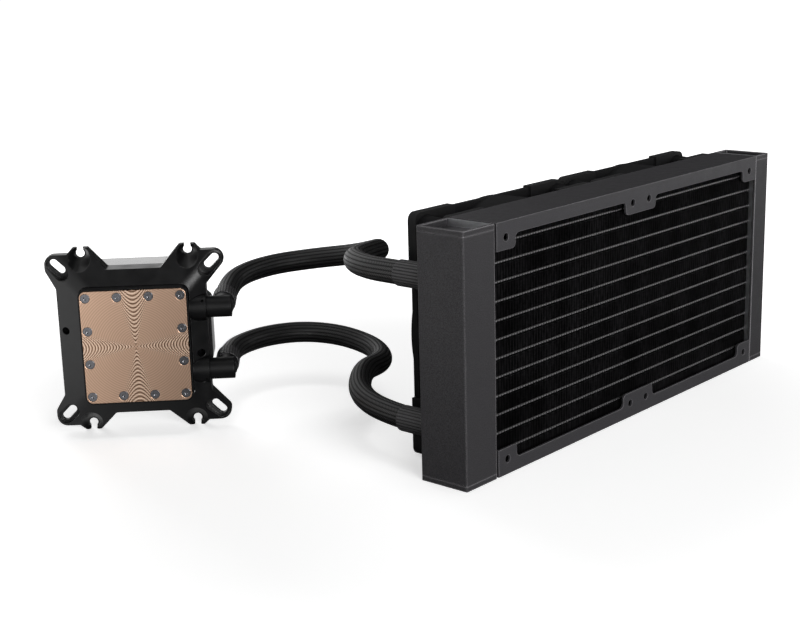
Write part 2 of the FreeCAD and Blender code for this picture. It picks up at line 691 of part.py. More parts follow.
def build_fans():
    """Both fans and the screws that hold them to the radiator."""
    frame = make_fan_frame()
    pads = make_fan_pads()
    rotor = make_rotor()
    drive = make_fan_drive()
    for side, x in (("left", -FAN_X), ("right", FAN_X)):
        prefix = side + "_fan_"
        keep(prefix + "frame", moved(frame, x, 0, MIDDLE_Z))
        keep(prefix + "corner_pads", *[moved(p, x, 0, MIDDLE_Z) for p in pads])
        keep(prefix + "rotor", moved(rotor, x, 0, MIDDLE_Z))
        for name, shape in drive.items():
            keep(prefix + name, moved(shape, x, 0, MIDDLE_Z))
    screws = []
    seat = FAN_BACK - FLANGE_SKIN
    for fan_x in (-FAN_X, FAN_X):
        for x, z in screw_places():
            screws.append(make_screw(fan_x + x, MIDDLE_Z + z, FAN_SCREW_R, FAN_SCREW_HEAD_R, FAN_SCREW_HEAD,
                                     seat, BACK - FAN_SCREW_TIP, FAN_SCREW_R * 0.8))
    keep("fan_screws", *screws)


# Pump block

def bracket_outline():
    """The bracket's outline, seen from the copper side."""
    quarter = [(NOTCH_HALF, BEAM_HALF_Z, 1.5), (HOOK_INNER_X, BLOCK_Z, 0.8), (HOOK_OUTER_X, BLOCK_Z, 0.8),
               (EAR_STEP_X, EAR_CORNER, 1.0), (EAR_CORNER, EAR_CORNER, EAR_ROUND)]
    left = [(-x, z, r) for x, z, r in quarter][::-1]
    heel_left = [(BEAM_LEFT, SIDE_CORNER_Z, 2.0), (-EAR_CORNER, EAR_HEEL_LEFT, HEEL_ROUND)]
    heel_right = [(EAR_CORNER, EAR_HEEL_RIGHT, HEEL_ROUND), (BEAM_RIGHT, SIDE_CORNER_Z, 2.0)]
    upper = heel_left + left + quarter + heel_right
    lower = [(x, -z, r) for x, z, r in upper][::-1]
    return upper + lower


def slope_spread(y):
    """The four sides of the bracket's sloping front at one depth."""
    grow = (y - SLOPE_TOP) / SLOPE_RISE
    x = BODY_CORE_HALF_X + grow
    z = BODY_CORE_HALF_Z + grow
    return (-x, x, -z, z)


def bracket_room(slope):
    """The hollow behind the bracket's front, clear of the hooks and the sunk slots."""
    left = BEAM_LEFT + BRACKET_WALL
    right = BEAM_RIGHT - BRACKET_WALL
    top = BEAM_HALF_Z - BRACKET_WALL
    reach = 2 * SLOT_SINK_INNER - (SLOT_SINK_R + EAR_WALL) * math.sqrt(2)
    upper = [(left, reach + left, 1.0), (top - reach, top, 1.0), (reach - top, top, 1.0), (right, reach - right, 1.0)]
    lower = [(x, -z, r) for x, z, r in upper][::-1]
    behind = moved(slope, y=BRACKET_WALL * math.hypot(1, SLOPE_RISE))
    return prism(upper + lower, 0, BRACKET_BACK + 1).common(behind)


def make_bracket():
    """The moulded bracket: four sloping faces round the pump's nose, with hooks and slotted ears."""
    start = SLOPE_TOP - SLOPE_LEAD
    end = BRACKET_BACK + 1
    slope = frustum(slope_spread(start), slope_spread(end), start, end)
    ridges = [e for e in slope.Edges if e.BoundBox.YLength > 1]
    slope = slope.makeFillet(SLOPE_BLEND, ridges)
    body = prism(bracket_outline(), 0, BRACKET_BACK).common(slope)
    posts = []
    holes = []
    for x, z in (BEAM_HOLE_LEFT, BEAM_HOLE_RIGHT):
        posts.append(rod_y(BEAM_POST_R, x, z, 0, BRACKET_BACK).common(body))
        holes.append(rod_y(BEAM_HOLE_R, x, z, 0, BRACKET_BACK - BEAM_SCREW_SEAT))
        holes.append(rod_y(BEAM_SCREW_R + 0.1, x, z, 0, BRACKET_BACK + 1))
    body = fused([body.cut(bracket_room(slope))] + posts)
    holes.append(prism(rectangle(BODY_CORE_HALF_X + WINDOW_GAP, BODY_CORE_HALF_Z + WINDOW_GAP,
                                 COPPER_ROUND + RIM_WIDTH + WINDOW_GAP), 0, BRACKET_BACK + 1))
    for z in (-BOSS_Z, BOSS_Z):
        holes.append(rod_x(BOSS_R + 2 * SLIDE_GAP, BOSS_DEPTH, z, 0, BEAM_RIGHT + 5))
    lip_y = BRACKET_BACK - DISH_LIP
    for sx in (-1, 1):
        for sz in (-1, 1):
            holes.append(capsule(sx * SLOT_INNER, sz * SLOT_INNER, sx * SLOT_OUTER, sz * SLOT_OUTER,
                                 SLOT_R, 0, BRACKET_BACK + 1))
            holes.append(capsule(sx * SLOT_SINK_INNER, sz * SLOT_SINK_INNER, sx * SLOT_SINK_OUTER,
                                 sz * SLOT_SINK_OUTER, SLOT_SINK_R, 0, EAR_FLOOR))
            holes.append(rod_y(HOOK_R, sx * HOOK_X, sz * HOOK_Z, 0, BRACKET_BACK + 1))
            mouth = sorted((sz * HOOK_Z, sz * (BLOCK_Z + 1)))
            holes.append(box((sx * HOOK_X - HOOK_MOUTH / 2, sx * HOOK_X + HOOK_MOUTH / 2),
                             (0, BRACKET_BACK + 1), mouth))
            holes.append(Part.makeCone(DISH_BACK_R + DISH_FLARE * lip_y, DISH_BACK_R, lip_y,
                                       Vector(sx * HOOK_X, 0, sz * HOOK_Z), Vector(0, 1, 0)))
    return body.cut(holes)


def plate_screw_places():
    """Four screws along each side of the copper plate, twelve in all."""
    steps = (-1.0, -1 / 3, 1 / 3, 1.0)
    return [(PLATE_SCREW_X * a, PLATE_SCREW_Z * b) for a in steps for b in steps
            if abs(a) == 1.0 or abs(b) == 1.0]


def make_cold_plate():
    """The copper plate: sunk screw holes in its face, fine fins on its back."""
    plate = prism(rectangle(COPPER_HALF_X, COPPER_HALF_Z, COPPER_ROUND), 0, COPPER_THICK)
    holes = []
    for x, z in plate_screw_places():
        holes.append(rod_y(PLATE_SCREW_HEAD_R + 0.15, x, z, -1, PLATE_SCREW_HEAD + PLATE_SCREW_SINK))
        holes.append(rod_y(PLATE_SCREW_R + 0.1, x, z, 0, COPPER_THICK + 1))
    plate = plate.cut(holes)
    pitch = MICROFIN_AREA / MICROFIN_COUNT
    fins = []
    for i in range(MICROFIN_COUNT):
        x = -MICROFIN_AREA / 2 + pitch * i
        fins.append(box((x, x + pitch / 2), (COPPER_THICK, COPPER_THICK + MICROFIN_HEIGHT),
                        (-MICROFIN_AREA / 2, MICROFIN_AREA / 2)))
    return fused([plate] + fins)


def make_plate_screws():
    """The twelve plate screws, heads to the front."""
    screws = []
    for x, z in plate_screw_places():
        seat = PLATE_SCREW_SINK + PLATE_SCREW_HEAD
        head = rod_y(PLATE_SCREW_HEAD_R, x, z, PLATE_SCREW_SINK, seat)
        shank = rod_y(PLATE_SCREW_R, x, z, seat, seat + PLATE_SCREW_LENGTH)
        screw = fused([head, shank])
        screws.append(screw.cut(rod_y(PLATE_SOCKET_R, x, z, 0, PLATE_SCREW_SINK + PLATE_SCREW_HEAD * 0.7)))
    return screws


def octagon(inset=0.0):
    """The eight corners of the pump's outline, cut deeper on the side of the elbows."""
    half = OCTAGON_HALF - inset
    right = half - CORNER_CUT_RIGHT + inset * (2 - math.sqrt(2))
    left = half - CORNER_CUT_LEFT + inset * (2 - math.sqrt(2))
    places = [(right, -half), (half, -right), (half, right), (right, half),
              (-left, half), (-half, left), (-half, -left), (-left, -half)]
    return [(x, z, OCTAGON_ROUND) for x, z in places]


def cover_screw_places():
    """Four screws on the diagonals of the pump cover."""
    reach = COVER_SCREW_REACH * math.cos(math.radians(45))
    return [(a * reach, b * reach) for a in (-1, 1) for b in (-1, 1)]


def make_pump_body():
    """The pump body: the block behind the copper, an octagonal plate, bosses, chamber and channels."""
    block = prism(rectangle(BODY_CORE_HALF_X, BODY_CORE_HALF_Z, COPPER_ROUND + RIM_WIDTH), RIM_SINK, BRACKET_BACK)
    plate = prism(octagon(), BRACKET_BACK, BODY_BACK)
    bosses = [rod_x(BOSS_R, BOSS_DEPTH, z, BODY_CORE_HALF_X - 4, BOSS_END) for z in (-BOSS_Z, BOSS_Z)]
    body = fused([block, plate] + bosses)
    pocket = JET_PLATE_HALF + SLIDE_GAP
    pocket_back = COPPER_THICK + MICROFIN_HEIGHT + 0.2 + JET_PLATE_THICK
    seat_y = BODY_BACK - CUP_FLANGE
    chamber_y = seat_y - CHAMBER_DEPTH
    holes = [prism(rectangle(COPPER_HALF_X + COPPER_GAP, COPPER_HALF_Z + COPPER_GAP, COPPER_ROUND + COPPER_GAP),
                   0, COPPER_THICK),
             prism(rectangle(pocket, pocket, JET_PLATE_ROUND), COPPER_THICK - 1, pocket_back),
             rod_y(CHAMBER_R, 0, 0, chamber_y, BODY_BACK + 1),
             rod_y(CUP_FLANGE_R + SLIDE_GAP, 0, 0, seat_y, BODY_BACK + 1),
             rod_y(WATER_R, 0, 0, pocket_back - 1, chamber_y + 1)]
    groove = prism(rectangle(GASKET_HALF_X + GASKET_SECTION / 2 + SLIDE_GAP, GASKET_HALF_Z + GASKET_SECTION / 2
                             + SLIDE_GAP, 3.0), COPPER_THICK - 1, COPPER_THICK + GASKET_SECTION)
    island = prism(rectangle(GASKET_HALF_X - GASKET_SECTION / 2 - SLIDE_GAP, GASKET_HALF_Z - GASKET_SECTION / 2
                             - SLIDE_GAP, 2.0), COPPER_THICK - 2, COPPER_THICK + GASKET_SECTION + 1)
    holes.append(groove.cut(island))
    for z in (-BOSS_Z, BOSS_Z):
        holes.append(rod_x(SPIGOT_R + RUN_GAP, BOSS_DEPTH, z, SPIGOT_START - 0.3, BOSS_END + 1))
        holes.append(rod_x(WATER_R, BOSS_DEPTH, z, JET_PLATE_HALF - 4, SPIGOT_START))
        pin_z = z + math.copysign(SPIGOT_R - PIN_R, z)
        holes.append(rod_y(PIN_R + 0.02, PIN_X, pin_z, 0, BOSS_DEPTH + BOSS_R + 1))
    duct = rod_x(WATER_R, BOSS_DEPTH, -BOSS_Z, 0, JET_PLATE_HALF)
    rise = box((-WATER_R, WATER_R), (pocket_back, BOSS_DEPTH + WATER_R), (-BOSS_Z - WATER_R, -CHAMBER_R + 1))
    feed = box((JET_PLATE_HALF - 6, JET_PLATE_HALF - 2), (BOSS_DEPTH, chamber_y + 1),
               (BOSS_Z - 13, BOSS_Z + 1))
    holes += [duct, rise, feed]
    for x, z in plate_screw_places():
        holes.append(rod_y(PLATE_SCREW_R + 0.02, x, z, 0, PLATE_SCREW_SINK + PLATE_SCREW_HEAD
                           + PLATE_SCREW_LENGTH + 0.3))
    for x, z in cover_screw_places():
        holes.append(rod_y(COVER_SCREW_R + 0.02, x, z, BRACKET_BACK + 1.5, BODY_BACK + 1))
    for x, z in (BEAM_HOLE_LEFT, BEAM_HOLE_RIGHT):
        holes.append(rod_y(BEAM_SCREW_R + 0.02, x, z, BRACKET_BACK - 1, BODY_BACK - 1))
    return body.cut(holes)


def make_gasket():
    """The flat seal between the copper plate and the pump body."""
    outer = rectangle(GASKET_HALF_X + GASKET_SECTION / 2, GASKET_HALF_Z + GASKET_SECTION / 2, 3.0)
    inner = rectangle(GASKET_HALF_X - GASKET_SECTION / 2, GASKET_HALF_Z - GASKET_SECTION / 2, 2.0)
    ring = prism(outer, COPPER_THICK, COPPER_THICK + GASKET_SECTION)
    return ring.cut(prism(inner, COPPER_THICK - 1, COPPER_THICK + GASKET_SECTION + 1))


def make_jet_plate():
    """The plate with a slit that spreads the water over the fine fins."""
    front = COPPER_THICK + MICROFIN_HEIGHT + 0.2
    plate = prism(rectangle(JET_PLATE_HALF, JET_PLATE_HALF, JET_PLATE_ROUND), front, front + JET_PLATE_THICK)
    return plate.cut(box((-JET_PLATE_HALF + 3, JET_PLATE_HALF - 3), (front - 1, front + JET_PLATE_THICK + 1),
                         (-JET_SLIT / 2, JET_SLIT / 2)))


def build_pump():
    """Everything in the block, in the block's own frame."""
    seat_y = BODY_BACK - CUP_FLANGE
    chamber_y = seat_y - CHAMBER_DEPTH
    disc_y = chamber_y + 1.2 + IMPELLER_BLADE
    disc = rod_y(IMPELLER_R, 0, 0, disc_y, disc_y + IMPELLER_DISC)
    magnet = rod_y(ROTOR_R, 0, 0, disc_y + IMPELLER_DISC, disc_y + IMPELLER_DISC + ROTOR_LENGTH)
    vane = box((PUMP_SHAFT_R + 1, IMPELLER_R - 0.5), (disc_y - IMPELLER_BLADE, disc_y), (-0.5, 0.5))
    hub = rod_y(PUMP_SHAFT_R + 1.4, 0, 0, disc_y - IMPELLER_BLADE, disc_y)
    vanes = [turned_y(vane, 360 / IMPELLER_BLADES * i) for i in range(IMPELLER_BLADES)]
    impeller = fused([disc, magnet, hub] + vanes)
    impeller = impeller.cut(rod_y(PUMP_SHAFT_R + RUN_GAP, 0, 0, 0, COVER_BACK))
    cup_end = disc_y + IMPELLER_DISC + ROTOR_LENGTH + 1.2
    cup = fused([rod_y(CUP_FLANGE_R, 0, 0, seat_y, BODY_BACK),
                 rod_y(CUP_INNER_R + CUP_WALL, 0, 0, seat_y, cup_end + CUP_WALL)])
    cup = cup.cut(rod_y(CUP_INNER_R, 0, 0, seat_y - 1, cup_end))
    shaft_seat = rod_y(PUMP_SHAFT_R + 1.2, 0, 0, cup_end - 1.0, cup_end)
    cup = fused([cup, shaft_seat]).cut(rod_y(PUMP_SHAFT_R, 0, 0, cup_end - 2, cup_end))
    seal_groove_r = CUP_FLANGE_R - 2
    seal_y = (seat_y, seat_y + GASKET_SECTION / 2)
    cup_seal = ring_y(seal_groove_r + GASKET_SECTION / 2, seal_groove_r - GASKET_SECTION / 2, 0, 0, *seal_y)
    cup = cup.cut(cup_seal)
    stator_y = (BODY_BACK + 1.0, BODY_BACK + 1.0 + PUMP_STATOR_HEIGHT)
    stator_inner = CUP_INNER_R + CUP_WALL
    legs = [rod_y(1.2, x, 0, BODY_BACK, stator_y[0]) for x in (-stator_inner - 1.2, stator_inner + 1.2)]
    board_y = (cup_end + CUP_WALL, cup_end + CUP_WALL + BOARD_THICK)
    columns = [rod_y(1.4, x, z, BODY_BACK, board_y[0]) for x in (-PUMP_BOARD_R + 3, PUMP_BOARD_R - 3)
               for z in (0.0,)]
    board = rod_y(PUMP_BOARD_R, 0, 0, *board_y)
    pieces = {
        "mounting_bracket": [make_bracket()],
        "cold_plate": [make_cold_plate()],
        "cold_plate_screws": make_plate_screws(),
        "cold_plate_gasket": [make_gasket()],
        "jet_plate": [make_jet_plate()],
        "pump_body": [make_pump_body()],
        "impeller": [impeller],
        "impeller_shaft": [rod_y(PUMP_SHAFT_R, 0, 0, chamber_y, cup_end)],
        "rotor_cup": [cup],
        "rotor_cup_seal": [cup_seal],
        "pump_stator": [fused([make_stator(PUMP_STATOR_R, stator_inner, *stator_y)] + legs)],
        "pump_circuit_board": [fused([board] + columns)],
        "pump_cover": [make_pump_cover()],
        "pump_cover_screws": [make_screw(x, z, COVER_SCREW_R, COVER_SCREW_HEAD_R, 1.6, COVER_BACK - 2.0,
                                         BRACKET_BACK + 2, COVER_SCREW_R * 0.8)
                              for x, z in cover_screw_places()],
        "bracket_screws": make_bracket_screws(),
    }
    for side, z in (("upper", BOSS_Z), ("lower", -BOSS_Z)):
        pieces[side + "_elbow"] = [make_elbow(z)]
        seal_r = SPIGOT_R - SEAL_SECTION
        ring = rod_x(SPIGOT_R, BOSS_DEPTH, z, SEAL_X - SEAL_SECTION / 2, SEAL_X + SEAL_SECTION / 2)
        pieces[side + "_elbow_seal"] = [ring.cut(rod_x(seal_r, BOSS_DEPTH, z, SEAL_X - 3, SEAL_X + 3))]
        sleeve = ring_y(COLLAR_R_BLOCK, HOSE_R + COLLAR_GAP, OUTLET_X, z,
                        OUTLET_FACE, OUTLET_FACE + COLLAR_LENGTH_BLOCK)
        pieces[side + "_block_collar"] = [sleeve]
    pin_half = math.sqrt(BOSS_R ** 2 - SPIGOT_R ** 2) - 0.2
    pieces["elbow_pins"] = [rod_y(PIN_R, PIN_X, z + math.copysign(SPIGOT_R - PIN_R, z),
                                  BOSS_DEPTH - pin_half + 1, BOSS_DEPTH + pin_half) for z in (BOSS_Z, -BOSS_Z)]
    for name, solids in pieces.items():
        keep(name, *[in_block(s) for s in solids])


def make_bracket_screws():
    """The two screws sunk in the bracket's beams, which hold it to the pump body."""
    screws = []
    for x, z in (BEAM_HOLE_LEFT, BEAM_HOLE_RIGHT):
        seat = BRACKET_BACK - BEAM_SCREW_SEAT
        head = rod_y(BEAM_SCREW_HEAD_R, x, z, seat - BEAM_SCREW_HEAD, seat)
        shank = rod_y(BEAM_SCREW_R, x, z, seat, BODY_BACK - 1.5)
        socket = rod_y(PLATE_SOCKET_R, x, z, 0, seat - BEAM_SCREW_HEAD * 0.4)
        screws.append(fused([head, shank]).cut(socket))
    return screws


def make_pump_cover():
    """The octagonal cover over the stator and the circuit board."""
    cover = prism(octagon(), BODY_BACK, COVER_BACK)
    rim = [e for e in cover.Edges if abs(e.BoundBox.YMin - COVER_BACK) < 1e-6 and e.BoundBox.YLength < 1e-6]
    cover = cover.makeChamfer(COVER_EDGE, rim)
    room = prism(octagon(COVER_WALL), BODY_BACK - 1, COVER_BACK - COVER_WALL)
    cover = cover.cut(room)
    columns = [rod_y(COVER_SCREW_HEAD_R + 1.0, x, z, BODY_BACK, COVER_BACK - COVER_WALL)
               for x, z in cover_screw_places()]
    cover = fused([cover] + columns)
    holes = []
    for x, z in cover_screw_places():
        holes.append(rod_y(COVER_SCREW_R + 0.1, x, z, BODY_BACK - 1, COVER_BACK))
        holes.append(rod_y(COVER_SCREW_HEAD_R + 0.2, x, z, COVER_BACK - 2.0, COVER_BACK + 1))
    return cover.cut(holes)


def make_elbow(z):
    """A rotary elbow: a spigot in the boss, a round barrel and an outlet with a barb at right angles."""
    barrel = rod_x(ELBOW_R, BOSS_DEPTH, z, BOSS_END, ELBOW_END)
    end = [e for e in barrel.Edges if abs(e.BoundBox.XMin - ELBOW_END) < 1e-6 and e.BoundBox.XLength < 1e-6]
    barrel = barrel.makeFillet(ELBOW_ROUND, end)
    spigot = rod_x(SPIGOT_R, BOSS_DEPTH, z, SPIGOT_START, BOSS_END)
    outlet = rod_y(OUTLET_R, OUTLET_X, z, BOSS_DEPTH, OUTLET_FACE)
    barb = rod_y(BARB_R, OUTLET_X, z, BOSS_DEPTH, OUTLET_FACE + COLLAR_LENGTH_BLOCK)
    elbow = fused([barrel, spigot, outlet, barb])
    groove = rod_x(SPIGOT_R + 1, BOSS_DEPTH, z, SEAL_X - SEAL_SECTION / 2, SEAL_X + SEAL_SECTION / 2)
    groove = groove.cut(rod_x(SPIGOT_R - SEAL_SECTION, BOSS_DEPTH, z, SEAL_X - 3, SEAL_X + 3))
    pin_groove = rod_x(SPIGOT_R + 1, BOSS_DEPTH, z, PIN_X - PIN_R - 0.1, PIN_X + PIN_R + 0.1)
    pin_groove = pin_groove.cut(rod_x(SPIGOT_R - 2 * PIN_R - 0.1, BOSS_DEPTH, z, PIN_X - 3, PIN_X + 3))
    bores = [rod_x(BARB_BORE_R - 0.2, BOSS_DEPTH, z, SPIGOT_START - 1, OUTLET_X),
             rod_y(BARB_BORE_R, OUTLET_X, z, BOSS_DEPTH, OUTLET_FACE + COLLAR_LENGTH_BLOCK + 1)]
    return elbow.cut([groove, pin_groove] + bores)


# Hoses

def hose_route(fitting_z, middle, boss_z):
    """The corners of a hose's line, from the tank fitting's flange to the elbow's outlet face."""
    start = Vector(FITTING_X, BACK + FITTING_FLANGE, fitting_z)
    outlet = BLOCK.multVec(Vector(OUTLET_X, OUTLET_FACE, boss_z))
    lead = BLOCK.multVec(Vector(OUTLET_X, OUTLET_FACE + LAST_HOSE_RUN, boss_z))
    return [start] + [Vector(*p) for p in middle] + [lead, outlet]


def hose_line(points, name):
    """Straight runs joined by arcs, each arc as large as its two runs allow."""
    edges = []
    position = points[0]
    radii = []
    for before, here, after in zip(points, points[1:], points[2:]):
        back = before - here
        on = after - here
        short = min(back.Length, on.Length)
        back.normalize()
        on.normalize()
        half = back.getAngle(on) / 2
        reach = 0.45 * short
        radius = reach * math.tan(half)
        start = here + back * reach
        end = here + on * reach
        middle = back + on
        middle.normalize()
        top = here + middle * (radius / math.sin(half) - radius)
        edges.append(Part.makeLine(position, start))
        edges.append(Part.Arc(start, top, end).toShape())
        position = end
        radii.append(round(radius, 1))
    edges.append(Part.makeLine(position, points[-1]))
    wire = Part.Wire(edges)
    print(name, "length", round(wire.Length, 1), "arc radii", radii)
    return wire


def make_hose(name, fitting_z, middle, boss_z):
    """A hose as a plain tube, open at both ends where the barbs go in."""
    points = hose_route(fitting_z, middle, boss_z)
    wire = hose_line(points, name)
    section = Part.Wire(Part.makeCircle(HOSE_R, points[0], Vector(0, 1, 0)))
    tube = wire.makePipeShell([section], True, True)
    print(name, "volume over section times length",
          round(tube.Volume / (math.pi * HOSE_R ** 2 * wire.Length), 4))
    barbs = [rod_y(BARB_R + SLIDE_GAP, FITTING_X, fitting_z, 0, BACK + FITTING_FLANGE + COLLAR_LENGTH_TANK),
             in_block(rod_y(BARB_R + SLIDE_GAP, OUTLET_X, boss_z, OUTLET_FACE - 1,
                            OUTLET_FACE + COLLAR_LENGTH_BLOCK))]
    return tube.cut(barbs)


def build_hoses():
    """Both hoses and the collars over their tank ends."""
    for side, fitting_z, middle, boss_z in (("upper", FITTING_Z_UPPER, UPPER_ROUTE, BOSS_Z),
                                            ("lower", FITTING_Z_LOWER, LOWER_ROUTE, -BOSS_Z)):
        keep(side + "_hose", make_hose(side + "_hose", fitting_z, middle, boss_z))
        start = BACK + FITTING_FLANGE
        keep(side + "_tank_collar", ring_y(COLLAR_R_TANK, HOSE_R + COLLAR_GAP, FITTING_X, fitting_z,
                                           start, start + COLLAR_LENGTH_TANK))


def write_nodes():
    """Write one STEP file for each node, and say what it holds."""
    os.makedirs("parts", exist_ok=True)
    for name, solids in NODES.items():
        loose = [piece for shape in solids for piece in shape.Solids]
        shape = loose[0] if len(loose) == 1 else Part.makeCompound(loose)
        shape.exportStep(os.path.join("parts", name + ".step"))
        print(name, len(loose), "valid" if all(s.isValid() for s in loose) else "NOT VALID",
              round(sum(s.Volume for s in loose), 1))


build_radiator()
build_fans()
build_pump()
build_hoses()
write_nodes()
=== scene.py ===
import math

import bpy
from mathutils import Matrix, Vector


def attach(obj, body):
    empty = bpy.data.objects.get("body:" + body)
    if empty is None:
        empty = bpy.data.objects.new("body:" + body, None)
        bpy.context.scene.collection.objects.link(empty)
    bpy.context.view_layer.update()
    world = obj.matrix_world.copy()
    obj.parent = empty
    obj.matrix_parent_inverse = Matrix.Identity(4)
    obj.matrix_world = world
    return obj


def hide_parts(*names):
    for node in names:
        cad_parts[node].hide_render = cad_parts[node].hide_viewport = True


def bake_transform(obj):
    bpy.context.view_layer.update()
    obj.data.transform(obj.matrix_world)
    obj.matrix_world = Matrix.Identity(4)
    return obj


# All-in-one CPU liquid cooler: radiator with two fans, two sleeved hoses and a pump block.
# Everything is in metres, in the part's own frame. MM turns a size in millimetres into metres.
MM = 0.001

# Camera, worked out from the radiator's screw holes
CAMERA_PLACE = (-0.62772, -0.40429, 0.24264)
CAMERA_RIGHT = (0.6571, -0.7534, -0.0259)
CAMERA_UP = (0.2056, 0.1460, 0.9677)
CAMERA_LENS = 66.03
CAMERA_SENSOR = 36.0

# Hoses: the points of each route in millimetres, from the tank's fitting to the elbow's outlet
HOSE_DIAMETER = 11.5 * MM
HOSE_STEP = 0.55 * MM
TANK_X = -132.0
HOSE_BACK = 14.7
TANK_LEVELS = {"upper": 94.0, "lower": 23.5}
ELBOW_LEAD = (-123.38, 163.84)
ELBOW_OUTLET = (-138.22, 148.99)
ELBOW_LEVELS = {"upper": 64.55, "lower": 31.85}
UPPER_ROUTE = [(TANK_X, HOSE_BACK, TANK_LEVELS["upper"]), (TANK_X, 33.1, TANK_LEVELS["upper"]),
               (-131.0, 54.4, 93.6), (-120.0, 74.1, 92.7), (-99.0, 89.0, 89.5), (-73.7, 98.2, 87.1),
               (-54.8, 118.3, 81.3), (-47.4, 139.6, 75.1), (-57.9, 162.9, 71.7), (-79.4, 176.5, 70.2),
               (-104.6, 175.9, 68.3), (*ELBOW_LEAD, ELBOW_LEVELS["upper"]),
               (*ELBOW_OUTLET, ELBOW_LEVELS["upper"])]
LOWER_ROUTE = [(TANK_X, HOSE_BACK, TANK_LEVELS["lower"]), (TANK_X, 41.0, TANK_LEVELS["lower"]),
               (-124.2, 69.4, 25.8), (-102.2, 87.4, 30.2), (-79.1, 94.9, 27.6), (-62.1, 109.4, 25.6),
               (-52.0, 127.5, 26.2), (-54.2, 148.5, 29.2), (-66.0, 165.3, 31.0), (-84.5, 174.6, 31.2),
               (-105.0, 174.0, 31.0), (*ELBOW_LEAD, ELBOW_LEVELS["lower"]),
               (*ELBOW_OUTLET, ELBOW_LEVELS["lower"])]

# Weave: columns of stitches all round, corners of the mesh all round, the length of a stitch, how far the
# columns stand out, and how round they are (1 is a sine, and less is fuller)
SLEEVE_COLUMNS = 18
SLEEVE_SIDES = SLEEVE_COLUMNS * 6
SLEEVE_STITCH = 1.05 * MM
SLEEVE_RELIEF = 0.09 * MM
CUFF_COLUMNS = 26
CUFF_SIDES = CUFF_COLUMNS * 4
CUFF_STITCH = 0.7 * MM
CUFF_RELIEF = 0.08 * MM
COLUMN_SHAPE = 0.6

# Cuffs: radius and length at the tank and at the block, where a block cuff starts in the block's own frame
# in millimetres, and how each rim turns in
TANK_CUFF = (6.3 * MM, 18.3 * MM)
BLOCK_CUFF = (6.2 * MM, 14.5 * MM)
BLOCK_CUFF_START = (43.9, 19.0)
BOSS_HEIGHTS = {"upper": 16.35, "lower": -16.35}
CUFF_RIM = 0.35 * MM
CUFF_TURN_IN = 0.3 * MM
CUFF_RINGS = 60

# Pump block's own frame: x to its right, y into its depth from the copper face, z up
BLOCK_TURN = -45
BLOCK = Matrix.Translation((-0.1827, 0.1666, 0.0482)) @ Matrix.Rotation(math.radians(BLOCK_TURN), 4, "Z")

# Radiator core, in millimetres. CREST_SHARE is half a flat crest as a share of its fold, and GLINT_DEPTH is
# how far back from the front edges the painted glints reach.
CORE_LEFT = -120.8
CORE_RIGHT = 119.8
CORE_HEIGHT = 120.0
PLATE_THICK = 1.2
TUBE_COUNT = 12
TUBE_PITCH = 9.0
TUBE_HEIGHT = 2.0
FIN_PITCH = 1.45
GLINT_PITCH = 2.1
FIN_DEPTH = 19.6
FIN_SHEET = 0.14
CREST_SHARE = 0.16
GLINT_DEPTH = 1.2

# Copper face, in millimetres. Its turned rings are too fine to show, so they are drawn at RING_PITCH. The
# bands are painted sheen: the light and dark bands that TURNING_RINGS rings in each millimetre give a
# picture.
# They fade over BAND_SPREAD, the sine of the angle to their axis.
RING_PITCH = 1.15
TURNING_RINGS = 4.1
BAND_SPACINGS = (1.5, 2.1)
BAND_SPREAD = (0.12, 0.4)
# Copper tones for the dark, middle and bright parts of the painted sheen
COPPER_SHEEN_TONES = ("#82644f", "#d9b49a", "#ffe2ca")

# Room and light. The floor and the shadow's centre are in metres. WHITE_SIDE points to the side of the room
# that mirrors show as white, and FRONT_DIM is how white they show the other side.
FLOOR_GLOW = 0.56
SHADOW_CENTRE = (-0.1, 0.08, 0.0)
FRONT_DIM = 0.03
ROOM_LIGHT = 0.1
WHITE_SIDE = (-0.6, 0.8, 0.0)
FLOOR_HALF = 6
FLOOR_DROP = 0.02 * MM

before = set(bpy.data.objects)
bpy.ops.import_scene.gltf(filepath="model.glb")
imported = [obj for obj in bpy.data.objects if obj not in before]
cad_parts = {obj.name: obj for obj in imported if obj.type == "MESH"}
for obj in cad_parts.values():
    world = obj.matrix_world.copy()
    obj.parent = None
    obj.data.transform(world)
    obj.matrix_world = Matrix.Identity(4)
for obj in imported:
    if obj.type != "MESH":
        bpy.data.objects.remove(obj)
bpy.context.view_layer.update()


# Small helpers

def linear(code):
    """An sRGB hex colour as linear red, green, blue and alpha."""
    parts = [int(code[i:i + 2], 16) / 255 for i in (1, 3, 5)]
    return (*[p / 12.92 if p <= 0.04045 else ((p + 0.055) / 1.055) ** 2.4 for p in parts], 1.0)


def add(tree, kind, sockets=None, **settings):
    """One node with its settings; a socket gets a value, a node's first output, or a named output."""
    node = tree.nodes.new(kind)
    for name, value in settings.items():
        setattr(node, name, value)
    for key, value in (sockets or {}).items():
        if isinstance(value, bpy.types.Node):
            value = value.outputs[0]
        if isinstance(value, bpy.types.NodeSocket):
            tree.links.new(value, node.inputs[key])
        else:
            node.inputs[key].default_value = value
    return node


def new_material(name):
    """An empty material with its tree and its Principled shader."""
    material = bpy.data.materials.new(name)
    material.use_nodes = True
    tree = material.node_tree
    tree.nodes.clear()
    shader = add(tree, "ShaderNodeBsdfPrincipled")
    add(tree, "ShaderNodeOutputMaterial", {"Surface": shader.outputs[0]})
    return material, tree, shader


def new_piece(name, points, faces, material, smooth=True, uvs=None):
    """A mesh object from points in metres, with one material."""
    mesh = bpy.data.meshes.new(name)
    mesh.from_pydata(points, [], faces)
    if uvs is not None:
        layer = mesh.uv_layers.new(name="along")
        layer.data.foreach_set("uv", [value for pair in uvs for value in pair])
    mesh.polygons.foreach_set("use_smooth", [smooth] * len(mesh.polygons))
    mesh.materials.append(material)
    mesh.validate()
    mesh.update()
    piece = bpy.data.objects.new(name, mesh)
    bpy.context.scene.collection.objects.link(piece)
    return piece


# Materials

